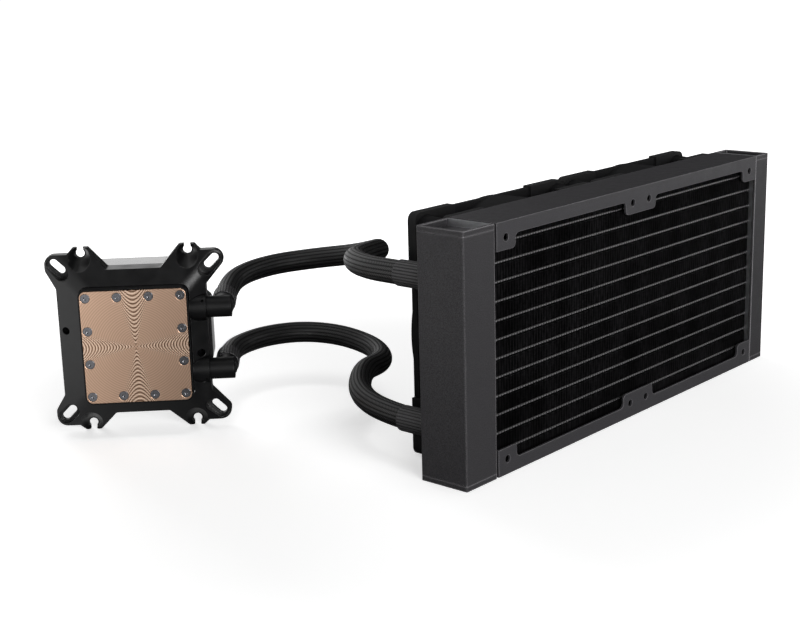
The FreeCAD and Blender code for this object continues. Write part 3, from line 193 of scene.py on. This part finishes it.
def finish_shader(tree, shader, colour, roughness, normal, **uniform):
    """Link a colour, a roughness and a normal, and set what is the same all over on the shader itself."""
    tree.links.new(colour, shader.inputs["Base Color"])
    tree.links.new(roughness, shader.inputs["Roughness"])
    tree.links.new(normal, shader.inputs["Normal"])
    for name, value in uniform.items():
        shader.inputs[name.replace("_", " ")].default_value = value


def grained(name, colour, second, roughness, grain, depth, specular=0.5, edge=0.0, cloud=6.0, coat=0.0,
            corner=None):
    """A coated or moulded surface: fine grain, a faint cloud in gloss, soft edges, and a painted highlight
    on corners.
    """
    material, tree, shader = new_material(name)
    place = add(tree, "ShaderNodeTexCoord").outputs["Object"]
    fine = add(tree, "ShaderNodeTexNoise", {"Vector": place, "Scale": 1 / (grain * MM), "Detail": 2.0})
    patch = add(tree, "ShaderNodeTexNoise", {"Vector": place, "Scale": 1 / (cloud * MM), "Detail": 3.0})
    spread = add(tree, "ShaderNodeMapRange", {"Value": fine, "From Min": 0.32, "From Max": 0.68})
    tone = add(tree, "ShaderNodeMix", {0: spread, 6: linear(colour), 7: linear(second)}, data_type="RGBA")
    rough = add(tree, "ShaderNodeMapRange", {"Value": patch, "From Min": 0.3, "From Max": 0.7,
                                             "To Min": roughness - 0.05, "To Max": roughness + 0.05})
    bump = add(tree, "ShaderNodeBump", {"Height": fine, "Strength": 1.0, "Distance": depth * MM})
    if edge > 0:
        rounded = add(tree, "ShaderNodeBevel", {"Radius": edge * MM}, samples=6)
        tree.links.new(rounded.outputs[0], bump.inputs["Normal"])
    # The corner tone is a painted highlight: lighter where the rounded normal turns away from the flat one
    if corner:
        flat = add(tree, "ShaderNodeNewGeometry").outputs["Normal"]
        turned = add(tree, "ShaderNodeVectorMath", {0: rounded, 1: flat}, operation="DOT_PRODUCT")
        rim = add(tree, "ShaderNodeMapRange",
                  {"Value": turned.outputs["Value"], "From Min": 0.995, "From Max": 0.88},
                  interpolation_type="SMOOTHSTEP")
        tone = add(tree, "ShaderNodeMix", {0: rim, 6: tone.outputs[2], 7: linear(corner)}, data_type="RGBA")
    finish_shader(tree, shader, tone.outputs[2], rough.outputs[0], bump.outputs[0],
                  Specular_IOR_Level=specular, Coat_Weight=coat, Coat_Roughness=0.1)
    return material


def bare_metal(name, colour, second, roughness, grain, edge=0.0):
    """A metal with a faint mottle in its tone and gloss."""
    material, tree, shader = new_material(name)
    place = add(tree, "ShaderNodeTexCoord").outputs["Object"]
    fine = add(tree, "ShaderNodeTexNoise", {"Vector": place, "Scale": 1 / (grain * MM), "Detail": 4.0})
    tone = add(tree, "ShaderNodeMix", {0: fine, 6: linear(colour), 7: linear(second)}, data_type="RGBA")
    rough = add(tree, "ShaderNodeMapRange", {"Value": fine, "From Min": 0.3, "From Max": 0.7,
                                             "To Min": roughness - 0.08, "To Max": roughness + 0.08})
    bump = add(tree, "ShaderNodeBump", {"Height": fine, "Strength": 0.5, "Distance": 0.02 * MM})
    if edge > 0:
        rounded = add(tree, "ShaderNodeBevel", {"Radius": edge * MM}, samples=6)
        tree.links.new(rounded.outputs[0], bump.inputs["Normal"])
    finish_shader(tree, shader, tone.outputs[2], rough.outputs[0], bump.outputs[0], Metallic=1.0)
    return material


def fold_wave(tree, place):
    """A ragged wave along the core, drawn coarser than its folds so that its painted glints keep apart."""
    split = add(tree, "ShaderNodeSeparateXYZ", {"Vector": place})
    turn = add(tree, "ShaderNodeMath", {0: split.outputs["X"], 1: 2 * math.pi / (GLINT_PITCH * MM)},
               operation="MULTIPLY")
    wave = add(tree, "ShaderNodeMath", {0: turn}, operation="SINE")
    fine = add(tree, "ShaderNodeTexNoise", {"Vector": place, "Scale": 1 / (2.5 * MM), "Detail": 2.0})
    return add(tree, "ShaderNodeMath", {0: fine, 1: 1.2, 2: wave}, operation="MULTIPLY_ADD")


def tube_enamel():
    """Black dip paint over brazed tubes, with a painted highlight in grey along the nose, broken at every
    fin fold.
    """
    material, tree, shader = new_material("dip_painted_tubes")
    place = add(tree, "ShaderNodeTexCoord").outputs["Object"]
    fillet = add(tree, "ShaderNodeMapRange",
                 {"Value": fold_wave(tree, place), "From Min": 0.0, "From Max": 1.3, "To Min": 0.05},
                 interpolation_type="SMOOTHSTEP")
    normal = add(tree, "ShaderNodeNewGeometry").outputs["Normal"]
    facing = add(tree, "ShaderNodeSeparateXYZ", {"Vector": normal})
    nose = add(tree, "ShaderNodeMapRange",
               {"Value": facing.outputs["Y"], "From Min": -0.94, "From Max": -0.985},
               interpolation_type="SMOOTHSTEP")
    # Painted highlight: the nose that faces the front is drawn grey, broken by the wave
    painted_nose_highlight = add(tree, "ShaderNodeMath", {0: nose, 1: fillet}, operation="MULTIPLY")
    tone = add(tree, "ShaderNodeMix", {0: painted_nose_highlight, 6: linear("#030303"), 7: linear("#69676a")},
               data_type="RGBA")
    rough = add(tree, "ShaderNodeMapRange", {"Value": fillet, "To Min": 0.5, "To Max": 0.3})
    bump = add(tree, "ShaderNodeBump", {"Height": fillet, "Strength": 0.3, "Distance": 0.1 * MM})
    finish_shader(tree, shader, tone.outputs[2], rough.outputs[0], bump.outputs[0], Specular_IOR_Level=0.3)
    return material


def fin_enamel():
    """Black dip paint on the fins, with painted glints in grey at some of the front edges, in drifting
    patches.
    """
    material, tree, shader = new_material("dip_painted_fins")
    place = add(tree, "ShaderNodeTexCoord").outputs["Object"]
    split = add(tree, "ShaderNodeSeparateXYZ", {"Vector": place})
    front = add(tree, "ShaderNodeMapRange",
                {"Value": split.outputs["Y"], "From Min": -FIN_DEPTH / 2 * MM,
                 "From Max": (GLINT_DEPTH - FIN_DEPTH / 2) * MM, "To Min": 1.0, "To Max": 0.0})
    web = add(tree, "ShaderNodeMapRange",
              {"Value": fold_wave(tree, place), "From Min": 0.2, "From Max": 1.3},
              interpolation_type="SMOOTHSTEP")
    drift = add(tree, "ShaderNodeTexNoise", {"Vector": place, "Scale": 1 / (25 * MM), "Detail": 1.0})
    patch = add(tree, "ShaderNodeMapRange",
                {"Value": drift, "From Min": 0.3, "From Max": 0.7, "To Min": 0.4})
    # Painted glints: grey at the front edges, along the wave, in drifting patches
    thin = add(tree, "ShaderNodeMath", {0: front, 1: web}, operation="MULTIPLY")
    painted_glint = add(tree, "ShaderNodeMath", {0: thin, 1: patch}, operation="MULTIPLY")
    tone = add(tree, "ShaderNodeMix", {0: painted_glint, 6: linear("#010101"), 7: linear("#2a292b")},
               data_type="RGBA")
    rough = add(tree, "ShaderNodeMapRange", {"Value": patch, "To Min": 0.4, "To Max": 0.55})
    bump = add(tree, "ShaderNodeBump", {"Height": drift, "Strength": 0.5, "Distance": 0.05 * MM})
    finish_shader(tree, shader, tone.outputs[2], rough.outputs[0], bump.outputs[0], Specular_IOR_Level=0.2)
    return material


def turned_copper():
    """Copper faced on a lathe: its fine rings drawn in tone, and curved bands of painted sheen along the
    two axes.
    """
    material, tree, shader = new_material("turned_copper")
    place = add(tree, "ShaderNodeTexCoord").outputs["Object"]
    local = add(tree, "ShaderNodeMapping", {"Vector": place, "Location": BLOCK.to_translation(),
                                            "Rotation": (0.0, 0.0, math.radians(BLOCK_TURN)),
                                            "Scale": (MM, MM, MM)}, vector_type="TEXTURE")
    split = add(tree, "ShaderNodeSeparateXYZ", {"Vector": local})
    x = add(tree, "ShaderNodeMath", {0: split.outputs["X"]}, operation="ABSOLUTE")
    z = add(tree, "ShaderNodeMath", {0: split.outputs["Z"]}, operation="ABSOLUTE")
    xx = add(tree, "ShaderNodeMath", {0: x, 1: x}, operation="MULTIPLY")
    square = add(tree, "ShaderNodeMath", {0: z, 1: z, 2: xx}, operation="MULTIPLY_ADD")
    radius = add(tree, "ShaderNodeMath", {0: square}, operation="SQRT")
    safe = add(tree, "ShaderNodeMath", {0: radius, 1: 0.01}, operation="MAXIMUM")
    sheen_bands = []
    for along, across, spacing in ((x, z, BAND_SPACINGS[0]), (z, x, BAND_SPACINGS[1])):
        carried = add(tree, "ShaderNodeMath", {0: along, 1: TURNING_RINGS + 1 / spacing},
                      operation="MULTIPLY")
        rest = add(tree, "ShaderNodeMath", {0: radius, 1: -TURNING_RINGS, 2: carried},
                   operation="MULTIPLY_ADD")
        phase = add(tree, "ShaderNodeMath", {0: rest, 1: 2 * math.pi}, operation="MULTIPLY")
        wave = add(tree, "ShaderNodeMath", {0: phase}, operation="COSINE")
        share = add(tree, "ShaderNodeMath", {0: across, 1: safe}, operation="DIVIDE")
        fade = add(tree, "ShaderNodeMapRange",
                   {"Value": share, "From Min": BAND_SPREAD[0], "From Max": BAND_SPREAD[1], "To Min": 1.0,
                    "To Max": 0.0}, interpolation_type="SMOOTHSTEP")
        sheen_bands.append(add(tree, "ShaderNodeMath", {0: wave, 1: fade}, operation="MULTIPLY"))
    turn = add(tree, "ShaderNodeMath", {0: radius, 1: 2 * math.pi / RING_PITCH}, operation="MULTIPLY")
    rings = add(tree, "ShaderNodeMath", {0: turn}, operation="COSINE")
    pair = add(tree, "ShaderNodeMath", {0: sheen_bands[0], 1: sheen_bands[1]}, operation="ADD")
    total = add(tree, "ShaderNodeMath", {0: rings, 1: 0.2, 2: pair}, operation="MULTIPLY_ADD")
    level = add(tree, "ShaderNodeMath", {0: total, 1: 0.5, 2: 0.5}, operation="MULTIPLY_ADD")
    # The ramp paints the sheen: dark copper in the dark bands, bright copper in the light ones
    ramp = add(tree, "ShaderNodeValToRGB", {"Fac": level})
    stops = ramp.color_ramp.elements
    stops[0].position, stops[0].color = 0.0, linear(COPPER_SHEEN_TONES[0])
    stops[1].position, stops[1].color = 1.0, linear(COPPER_SHEEN_TONES[2])
    stops.new(0.5).color = linear(COPPER_SHEEN_TONES[1])
    rounded = add(tree, "ShaderNodeBevel", {"Radius": 0.4 * MM}, samples=6)
    bump = add(tree, "ShaderNodeBump", {"Height": total, "Strength": 0.35, "Distance": 0.03 * MM,
                                        "Normal": rounded})
    rough = add(tree, "ShaderNodeMapRange", {"Value": level, "To Min": 0.26, "To Max": 0.34})
    finish_shader(tree, shader, ramp.outputs[0], rough.outputs[0], bump.outputs[0], Metallic=1.0)
    return material


def woven_sleeve(name, length, around, column, stitch, colour, raised_yarn_highlight):
    """Woven nylon yarn: columns of slanted stitches that lean the other way in each next column."""
    material, tree, shader = new_material(name)
    uv = add(tree, "ShaderNodeUVMap", uv_map="along")
    split = add(tree, "ShaderNodeSeparateXYZ", {"Vector": uv})
    run = add(tree, "ShaderNodeMath", {0: split.outputs["X"], 1: length / stitch}, operation="MULTIPLY")
    turn = add(tree, "ShaderNodeMath", {0: split.outputs["Y"], 1: around / column}, operation="MULTIPLY")
    lean = add(tree, "ShaderNodeMath", {0: turn, 1: 1.0}, operation="PINGPONG")
    slant = add(tree, "ShaderNodeMath", {0: lean, 1: column / stitch, 2: run}, operation="MULTIPLY_ADD")
    phase = add(tree, "ShaderNodeMath", {0: slant, 1: math.pi}, operation="MULTIPLY")
    yarn = add(tree, "ShaderNodeMath", {0: add(tree, "ShaderNodeMath", {0: phase}, operation="SINE")},
               operation="ABSOLUTE")
    half_turn = add(tree, "ShaderNodeMath", {0: turn, 1: math.pi}, operation="MULTIPLY")
    rib = add(tree, "ShaderNodeMath", {0: add(tree, "ShaderNodeMath", {0: half_turn}, operation="SINE")},
              operation="ABSOLUTE")
    shoulder = add(tree, "ShaderNodeMath", {0: rib, 1: COLUMN_SHAPE}, operation="POWER")
    height = add(tree, "ShaderNodeMath", {0: yarn, 1: shoulder}, operation="MULTIPLY")
    # Painted highlight and shade: raised yarn drawn in the lighter tone, the hollows in the darker one
    tone = add(tree, "ShaderNodeMix", {0: height, 6: linear(colour), 7: linear(raised_yarn_highlight)}, data_type="RGBA")
    rough = add(tree, "ShaderNodeMapRange", {"Value": height, "To Min": 0.7, "To Max": 0.34})
    gloss = add(tree, "ShaderNodeMapRange", {"Value": height, "To Min": 0.03, "To Max": 0.8})
    tree.links.new(gloss.outputs[0], shader.inputs["Specular IOR Level"])
    bump = add(tree, "ShaderNodeBump", {"Height": height, "Strength": 1.0, "Distance": 0.1 * MM})
    finish_shader(tree, shader, tone.outputs[2], rough.outputs[0], bump.outputs[0])
    return material


# Grain, depth, edge and cloud are in millimetres. Moulded grain is really under 0.1 mm wide, and is drawn
# three times as coarse or more, so that it shows.
FINISHES = {
    # Powder coat on aluminium: satin, with a fine even grain, and a painted highlight along its rounded
    # corners
    "tank_paint": grained("powder_coated_tank", "#222123", "#3d3c3e", roughness=0.5, grain=0.45,
                          depth=0.03, specular=0.2, edge=1.0, corner="#858386"),
    # The same coat on folded sheet: a little lighter, and a finer painted highlight along its folds
    "plate_paint": grained("powder_coated_sheet", "#272628", "#3d3c3f", roughness=0.5, grain=0.45,
                           depth=0.02, specular=0.3, edge=0.5, corner="#6f6d70"),
    # Thin dip paint on folded fins: deep black, with faint painted glints at the front edges of its folds
    "core_paint": fin_enamel(),
    # The same paint on the tubes: deep black, with a broken painted highlight in grey along each nose
    "tube_paint": tube_enamel(),
    # Moulded glass-filled polyester: matte black, with the fine grain of a spark-eroded mould
    "fan_plastic": grained("moulded_fan_plastic", "#171718", "#202021", roughness=0.6, grain=0.35,
                           depth=0.015, specular=0.05, edge=0.4),
    # Moulded rubber: dull black that gives no glint
    "pad_rubber": grained("moulded_rubber", "#0e0e0f", "#141415", roughness=0.7, grain=0.4, depth=0.02,
                          specular=0.2, edge=0.4),
    # Moulded nylon bracket: satin black, which catches the white room on its left walls
    "bracket_nylon": grained("moulded_nylon", "#060607", "#0a0a0b", roughness=0.34, grain=0.3, depth=0.008,
                             specular=0.37, edge=0.5),
    # The elbows and the body with their bosses: the same nylon, duller and darker
    "elbow_nylon": grained("moulded_elbow_nylon", "#050506", "#09090a", roughness=0.45, grain=0.3,
                           depth=0.008, specular=0.2, edge=0.5),
    # ABS from a polished mould: glossy black that mirrors the room
    "pump_abs": grained("polished_abs", "#0c0c0d", "#101011", roughness=0.2, grain=1.2, depth=0.002,
                        specular=0.5, edge=0.5, cloud=12.0, coat=1.0),
    # Moulded polymer of the inner parts: plain mid grey with a soft sheen
    "inner_plastic": grained("moulded_inner_plastic", "#5c5c60", "#68686c", roughness=0.35, grain=0.8,
                             depth=0.01, specular=0.5, edge=0.2),
    # Glass-fibre epoxy board under solder mask: dark green with a faint sheen
    "board": grained("epoxy_board", "#123a24", "#18462c", roughness=0.4, grain=0.6, depth=0.01,
                     specular=0.5),
    # Glazed ceramic: smooth off-white with a sharp glint
    "ceramic": grained("glazed_ceramic", "#dcdad4", "#e4e2dd", roughness=0.15, grain=0.8, depth=0.004,
                       specular=0.6),
    # Sintered ferrite: matte charcoal
    "ferrite": grained("sintered_ferrite", "#262628", "#303032", roughness=0.6, grain=0.3, depth=0.02,
                       specular=0.4),
    # Black oxide on steel: dark grey, with brighter rims
    "dark_steel": bare_metal("black_oxide_steel", "#77777b", "#919195", roughness=0.2, grain=0.6,
                             edge=0.25),
    # The same steel painted darker, as painted shade, on the screws and pins that sit deep in their holes
    "shade_darkened_steel": bare_metal("steel_darkened_for_shade", "#0c0c0d", "#131314", roughness=0.5, grain=0.6),
    # Ground steel: bright, with soft reflections
    "steel": bare_metal("ground_steel", "#a8a8ab", "#bcbcbf", roughness=0.3, grain=0.6, edge=0.1),
    # Rolled aluminium sheet: pale and satin
    "bare_aluminium": bare_metal("rolled_aluminium", "#b4b5b8", "#c6c7ca", roughness=0.4, grain=0.8),
    # Sintered bronze: brown gold with a dry, mottled look
    "bronze": bare_metal("sintered_bronze", "#a1794a", "#b58b58", roughness=0.4, grain=0.4),
    # Enamelled copper wire: red brown with a glint on each turn
    "winding": bare_metal("enamelled_wire", "#9c4f2c", "#b56238", roughness=0.3, grain=0.3),
    # Copper faced on a lathe: pale, with curved bands of painted sheen
    "copper": turned_copper(),
}

NODE_FINISHES = {
    "tank_paint": ["left_tank", "right_tank", "left_tank_top_cap", "left_tank_bottom_cap",
                   "right_tank_top_cap", "right_tank_bottom_cap", "upper_tank_fitting",
                   "lower_tank_fitting"],
    "plate_paint": ["top_side_plate", "bottom_side_plate"],
    "core_paint": ["fin_rows"],
    "tube_paint": ["flat_tubes"],
    "bare_aluminium": ["left_header_plate", "right_header_plate", "left_tank_baffle"],
    "fan_plastic": ["left_fan_frame", "right_fan_frame", "left_fan_rotor", "right_fan_rotor"],
    "pad_rubber": ["left_fan_corner_pads", "right_fan_corner_pads", "cold_plate_gasket", "rotor_cup_seal",
                   "upper_elbow_seal", "lower_elbow_seal"],
    "bracket_nylon": ["mounting_bracket"],
    "elbow_nylon": ["upper_elbow", "lower_elbow", "pump_body"],
    "pump_abs": ["pump_cover"],
    "inner_plastic": ["jet_plate", "rotor_cup"],
    "board": ["left_fan_circuit_board", "right_fan_circuit_board", "pump_circuit_board"],
    "ceramic": ["impeller_shaft"],
    "ferrite": ["impeller", "left_fan_magnet", "right_fan_magnet"],
    "dark_steel": ["cold_plate_screws", "fan_screws", "pump_cover_screws"],
    "shade_darkened_steel": ["bracket_screws", "elbow_pins"],
    "steel": ["left_fan_yoke", "right_fan_yoke", "left_fan_shaft", "right_fan_shaft"],
    "bronze": ["left_fan_bearing", "right_fan_bearing"],
    "winding": ["left_fan_stator", "right_fan_stator", "pump_stator"],
    "copper": ["cold_plate"],
}


def dress_solids():
    """Give each solid of the frame its finish."""
    for finish, names in NODE_FINISHES.items():
        for name in names:
            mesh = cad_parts[name].data
            mesh.materials.clear()
            mesh.materials.append(FINISHES[finish])


# Camera and hoses

def make_camera():
    """The photograph's point of view."""
    data = bpy.data.cameras.new("camera")
    data.lens = CAMERA_LENS
    data.sensor_width = CAMERA_SENSOR
    data.clip_start = 0.01
    camera = bpy.data.objects.new("camera", data)
    bpy.context.scene.collection.objects.link(camera)
    right = Vector(CAMERA_RIGHT).normalized()
    up = Vector(CAMERA_UP).normalized()
    turn = Matrix((right, up, right.cross(up))).transposed().to_4x4()
    camera.matrix_world = Matrix.Translation(CAMERA_PLACE) @ turn
    bpy.context.scene.camera = camera


def smooth_line(name, route):
    """Points along the smooth line that a route in millimetres gives."""
    data = bpy.data.curves.new(name, "CURVE")
    data.dimensions = "3D"
    data.resolution_u = 40
    spline = data.splines.new("NURBS")
    spline.points.add(len(route) - 1)
    for point, place in zip(spline.points, route):
        point.co = (*[value * MM for value in place], 1.0)
    spline.order_u = 3
    spline.use_endpoint_u = True
    carrier = bpy.data.objects.new(name, data)
    bpy.context.scene.collection.objects.link(carrier)
    line = bpy.data.meshes.new_from_object(carrier)
    points = [vertex.co.copy() for vertex in line.vertices]
    bpy.data.objects.remove(carrier)
    bpy.data.meshes.remove(line)
    return points


def even_points(points, step):
    """The same line with points about one step apart, and its length."""
    reach = [0.0]
    for a, b in zip(points, points[1:]):
        reach.append(reach[-1] + (b - a).length)
    count = max(2, round(reach[-1] / step))
    spaced = []
    i = 0
    for k in range(count + 1):
        target = reach[-1] * k / count
        while i < len(points) - 2 and reach[i + 1] < target:
            i += 1
        share = (target - reach[i]) / max(reach[i + 1] - reach[i], 1e-12)
        spaced.append(points[i].lerp(points[i + 1], share))
    return spaced, reach[-1]


def sweep(line, sides, radius_at):
    """Points and faces of a tube along a line, with uvs along and around, and flat closed ends."""
    tangents = []
    for i in range(len(line)):
        ahead = line[min(i + 1, len(line) - 1)] - line[max(i - 1, 0)]
        tangents.append(ahead.normalized())
    side = tangents[0].orthogonal().normalized()
    points = []
    for i, centre in enumerate(line):
        side = (side - tangents[i] * side.dot(tangents[i])).normalized()
        other = tangents[i].cross(side)
        for k in range(sides):
            angle = 2 * math.pi * k / sides
            out = side * math.cos(angle) + other * math.sin(angle)
            points.append(centre + out * radius_at(i / (len(line) - 1), k / sides))
    faces = []
    uvs = []
    last = len(line) - 1
    for i in range(last):
        for k in range(sides):
            following = (k + 1) % sides
            near, far = i * sides, (i + 1) * sides
            faces.append((near + k, near + following, far + following, far + k))
            for du, dv in ((0, 0), (0, 1), (1, 1), (1, 0)):
                uvs.append(((i + du) / last, (k + dv) / sides))
    for ring, ordered in ((0, range(sides - 1, -1, -1)), (last, range(sides))):
        faces.append(tuple(ring * sides + k for k in ordered))
        uvs.extend((ring / last, k / sides) for k in ordered)
    return points, faces, uvs


def make_hose(side, route):
    """A sleeved hose, which bends between the radiator and its elbow."""
    name = side + "_hose_sleeve"
    line = smooth_line(name, route)
    spaced, reach = even_points(line, HOSE_STEP)
    around = math.pi * HOSE_DIAMETER
    # Woven nylon yarn: near black, with a glint and a painted highlight on each raised stitch, and painted
    # shade between
    material = woven_sleeve("woven_nylon_" + side, reach, around, around / SLEEVE_COLUMNS, SLEEVE_STITCH,
                            "#020202", "#0f0f10")

    def radius_at(along, turn):
        rib = abs(math.sin(math.pi * turn * SLEEVE_COLUMNS))
        return HOSE_DIAMETER / 2 + SLEEVE_RELIEF * (rib ** COLUMN_SHAPE - 1.0)

    points, faces, uvs = sweep(spaced, SLEEVE_SIDES, radius_at)
    hose = new_piece(name, points, faces, material, uvs=uvs)
    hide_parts(side + "_hose")
    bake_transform(hose)
    return hose


def make_collar(name, node, body, start, along, radius, length):
    """A short woven cuff over a hose's end, turned in at both rims."""
    line = [start + along * (length * k / CUFF_RINGS) for k in range(CUFF_RINGS + 1)]
    around = 2 * math.pi * radius
    # The same yarn in a finer weave: dark, with a painted highlight in grey on the raised stitches
    material = woven_sleeve("woven_cuff_" + name, length, around, around / CUFF_COLUMNS, CUFF_STITCH,
                            "#080808", "#434244")

    def radius_at(along_share, turn):
        rim = min(along_share, 1 - along_share) * length
        inward = max(0.0, CUFF_RIM - rim) / CUFF_RIM
        rib = abs(math.sin(math.pi * turn * CUFF_COLUMNS))
        return radius - CUFF_TURN_IN * inward ** 2 - CUFF_RELIEF * (1 - rib ** COLUMN_SHAPE)

    points, faces, uvs = sweep(line, CUFF_SIDES, radius_at)
    cuff = new_piece(name, points, faces, material, uvs=uvs)
    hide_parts(node)
    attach(cuff, body)
    return cuff


def make_collars():
    """Cuffs at both ends of both hoses."""
    for side in ("upper", "lower"):
        start = Vector((TANK_X, HOSE_BACK, TANK_LEVELS[side])) * MM
        make_collar(side + "_tank_cuff", side + "_tank_collar", "cooler", start, Vector((0, 1, 0)),
                    *TANK_CUFF)
        start = BLOCK @ (Vector((*BLOCK_CUFF_START, BOSS_HEIGHTS[side])) * MM)
        along = BLOCK.to_3x3() @ Vector((0, 1, 0))
        make_collar(side + "_block_cuff", side + "_block_collar", side + "_swivel", start, along,
                    *BLOCK_CUFF)


# Radiator core

def make_fins():
    """Rows of thin folded fin between the tubes, each crest a flat touching its tube."""
    levels = [CORE_HEIGHT / 2 + TUBE_PITCH * (i - (TUBE_COUNT - 1) / 2) for i in range(TUBE_COUNT)]
    floors = [PLATE_THICK] + [z + TUBE_HEIGHT / 2 for z in levels]
    roofs = [z - TUBE_HEIGHT / 2 for z in levels] + [CORE_HEIGHT - PLATE_THICK]
    folds = round((CORE_RIGHT - CORE_LEFT) / FIN_PITCH)
    fold = (CORE_RIGHT - CORE_LEFT) / folds
    crest = fold * CREST_SHARE
    points = []
    faces = []
    for low, high in zip(floors, roofs):
        section = [(CORE_LEFT, low, 1)]
        for i in range(folds):
            middle = CORE_LEFT + fold * (i + 0.5)
            section += [(middle - fold / 2 + crest, low, 1), (middle - crest, high, -1),
                        (middle + crest, high, -1), (middle + fold / 2 - crest, low, 1)]
        section.append((CORE_RIGHT, low, 1))
        base = len(points)
        for x, z, inward in section:
            for y in (-FIN_DEPTH / 2, FIN_DEPTH / 2):
                for lift in (0.0, FIN_SHEET * inward):
                    points.append((x * MM, y * MM, (z + lift) * MM))
        for i in range(len(section) - 1):
            a = base + i * 4
            b = a + 4
            if section[i][2] != section[i + 1][2]:
                continue
            faces += [(a, b, b + 2, a + 2), (a + 1, a + 3, b + 3, b + 1),
                      (a, a + 1, b + 1, b), (a + 2, b + 2, b + 3, a + 3)]
        for i in range(len(section) - 1):
            if section[i][2] == section[i + 1][2]:
                continue
            a = base + i * 4
            b = a + 4
            faces += [(a, b + 1, b + 3, a + 2), (a + 1, a + 3, b + 2, b), (a, a + 1, b, b + 1),
                      (a + 2, b + 3, b + 2, a + 3)]
    fins = new_piece("folded_fins", points, faces, FINISHES["core_paint"], smooth=False)
    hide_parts("fin_rows")
    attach(fins, "cooler")


# Room and light

def white_to_mirrors(tree, place, low, high):
    """White that mirrors see at the back of the room alone, and the camera sees everywhere.

    Gives the kinds of ray, which rays come off a mirror, how white those see a place, and how white they
    and the camera see it.
    """
    back = add(tree, "ShaderNodeVectorMath", {0: place, 1: WHITE_SIDE}, operation="DOT_PRODUCT")
    behind = add(tree, "ShaderNodeMapRange",
                 {"Value": back.outputs["Value"], "From Min": low, "From Max": high, "To Min": FRONT_DIM},
                 interpolation_type="SMOOTHSTEP")
    paths = add(tree, "ShaderNodeLightPath")
    mirrored = add(tree, "ShaderNodeMath", {0: paths.outputs["Is Glossy Ray"],
                                            1: paths.outputs["Is Transmission Ray"]}, operation="MAXIMUM")
    seen = add(tree, "ShaderNodeMath", {0: mirrored, 1: behind, 2: paths.outputs["Is Camera Ray"]},
               operation="MULTIPLY_ADD")
    return paths, mirrored, behind, seen


def make_floor():
    """A white floor that keeps the cooler's shadow; its white shows to the camera and in reflections."""
    mesh = bpy.data.meshes.new("floor")
    corners = [(-1, -1), (1, -1), (1, 1), (-1, 1)]
    mesh.from_pydata([(x * FLOOR_HALF, y * FLOOR_HALF, 0) for x, y in corners], [], [(0, 1, 2, 3)])
    floor = bpy.data.objects.new("floor", mesh)
    floor.location.z = -FLOOR_DROP
    bpy.context.scene.collection.objects.link(floor)
    material = bpy.data.materials.new("white_paper")
    material.use_nodes = True
    tree = material.node_tree
    tree.nodes.clear()
    place = add(tree, "ShaderNodeTexCoord").outputs["Object"]
    _, mirrored, behind, seen = white_to_mirrors(tree, place, 0.15, 0.4)
    away = add(tree, "ShaderNodeVectorMath", {0: place, 1: SHADOW_CENTRE}, operation="DISTANCE")
    near = add(tree, "ShaderNodeMapRange",
               {"Value": away.outputs["Value"], "From Min": 0.18, "From Max": 0.42, "To Min": FLOOR_GLOW},
               interpolation_type="SMOOTHSTEP")
    shade = add(tree, "ShaderNodeMix", {0: mirrored, 6: linear("#f2f2f2"), 7: behind}, data_type="RGBA")
    glow = add(tree, "ShaderNodeMath", {0: seen, 1: near}, operation="MULTIPLY")
    paper = add(tree, "ShaderNodeBsdfDiffuse", {"Color": shade.outputs[2]})
    light = add(tree, "ShaderNodeEmission", {"Strength": glow})
    both = add(tree, "ShaderNodeAddShader", {0: paper, 1: light})
    add(tree, "ShaderNodeOutputMaterial", {"Surface": both})
    mesh.materials.append(material)


def make_surround():
    """White all round to the camera; in reflections white at the back and dim in front, as in a studio."""
    world = bpy.data.worlds.new("surround")
    bpy.context.scene.world = world
    world.use_nodes = True
    tree = world.node_tree
    tree.nodes.clear()
    facing = add(tree, "ShaderNodeTexCoord").outputs["Generated"]
    paths, mirrored, _, shown = white_to_mirrors(tree, facing, 0.05, 0.25)
    either = add(tree, "ShaderNodeMath", {0: mirrored, 1: paths.outputs["Is Camera Ray"]},
                 operation="MAXIMUM")
    dim = add(tree, "ShaderNodeBackground", {"Color": (1, 1, 1, 1), "Strength": ROOM_LIGHT})
    white = add(tree, "ShaderNodeBackground", {"Color": (1, 1, 1, 1), "Strength": shown})
    mixed = add(tree, "ShaderNodeMixShader", {0: either, 1: dim, 2: white})
    add(tree, "ShaderNodeOutputWorld", {"Surface": mixed})


def soft_lamp(name, place, target, size, power):
    """A square soft lamp that faces a point; its size is in metres and its power in watts."""
    data = bpy.data.lights.new(name, "AREA")
    data.shape = "SQUARE"
    data.size = size
    data.energy = power
    lamp = bpy.data.objects.new(name, data)
    bpy.context.scene.collection.objects.link(lamp)
    lamp.location = place
    lamp.rotation_mode = "QUATERNION"
    lamp.rotation_quaternion = (Vector(target) - Vector(place)).to_track_quat("-Z", "Y")
    return lamp


def make_lamps():
    """Soft lamps: in front, above, behind without a glint, and on the right for glints alone."""
    soft_lamp("front_lamp", (-0.75, -1.5, 0.24), (-0.05, 0.05, 0.07), size=1.0, power=38)
    soft_lamp("top_lamp", (-0.1, -0.1, 1.45), (-0.05, 0.08, 0.0), size=0.36, power=2.8)
    back_lamp = soft_lamp("back_lamp", (0.45, 1.5, 0.4), (-0.05, 0.05, 0.06), size=0.6, power=16)
    back_lamp.visible_glossy = False
    glint_lamp = soft_lamp("glint_lamp", (0.95, -0.6, 0.3), (0.0, 0.0, 0.06), size=0.8, power=5)
    glint_lamp.visible_diffuse = False


make_camera()
make_hose("upper", UPPER_ROUTE)
make_hose("lower", LOWER_ROUTE)
make_collars()
dress_solids()
make_fins()
make_floor()
make_surround()
make_lamps()

bpy.context.scene.view_settings.view_transform = "Standard"
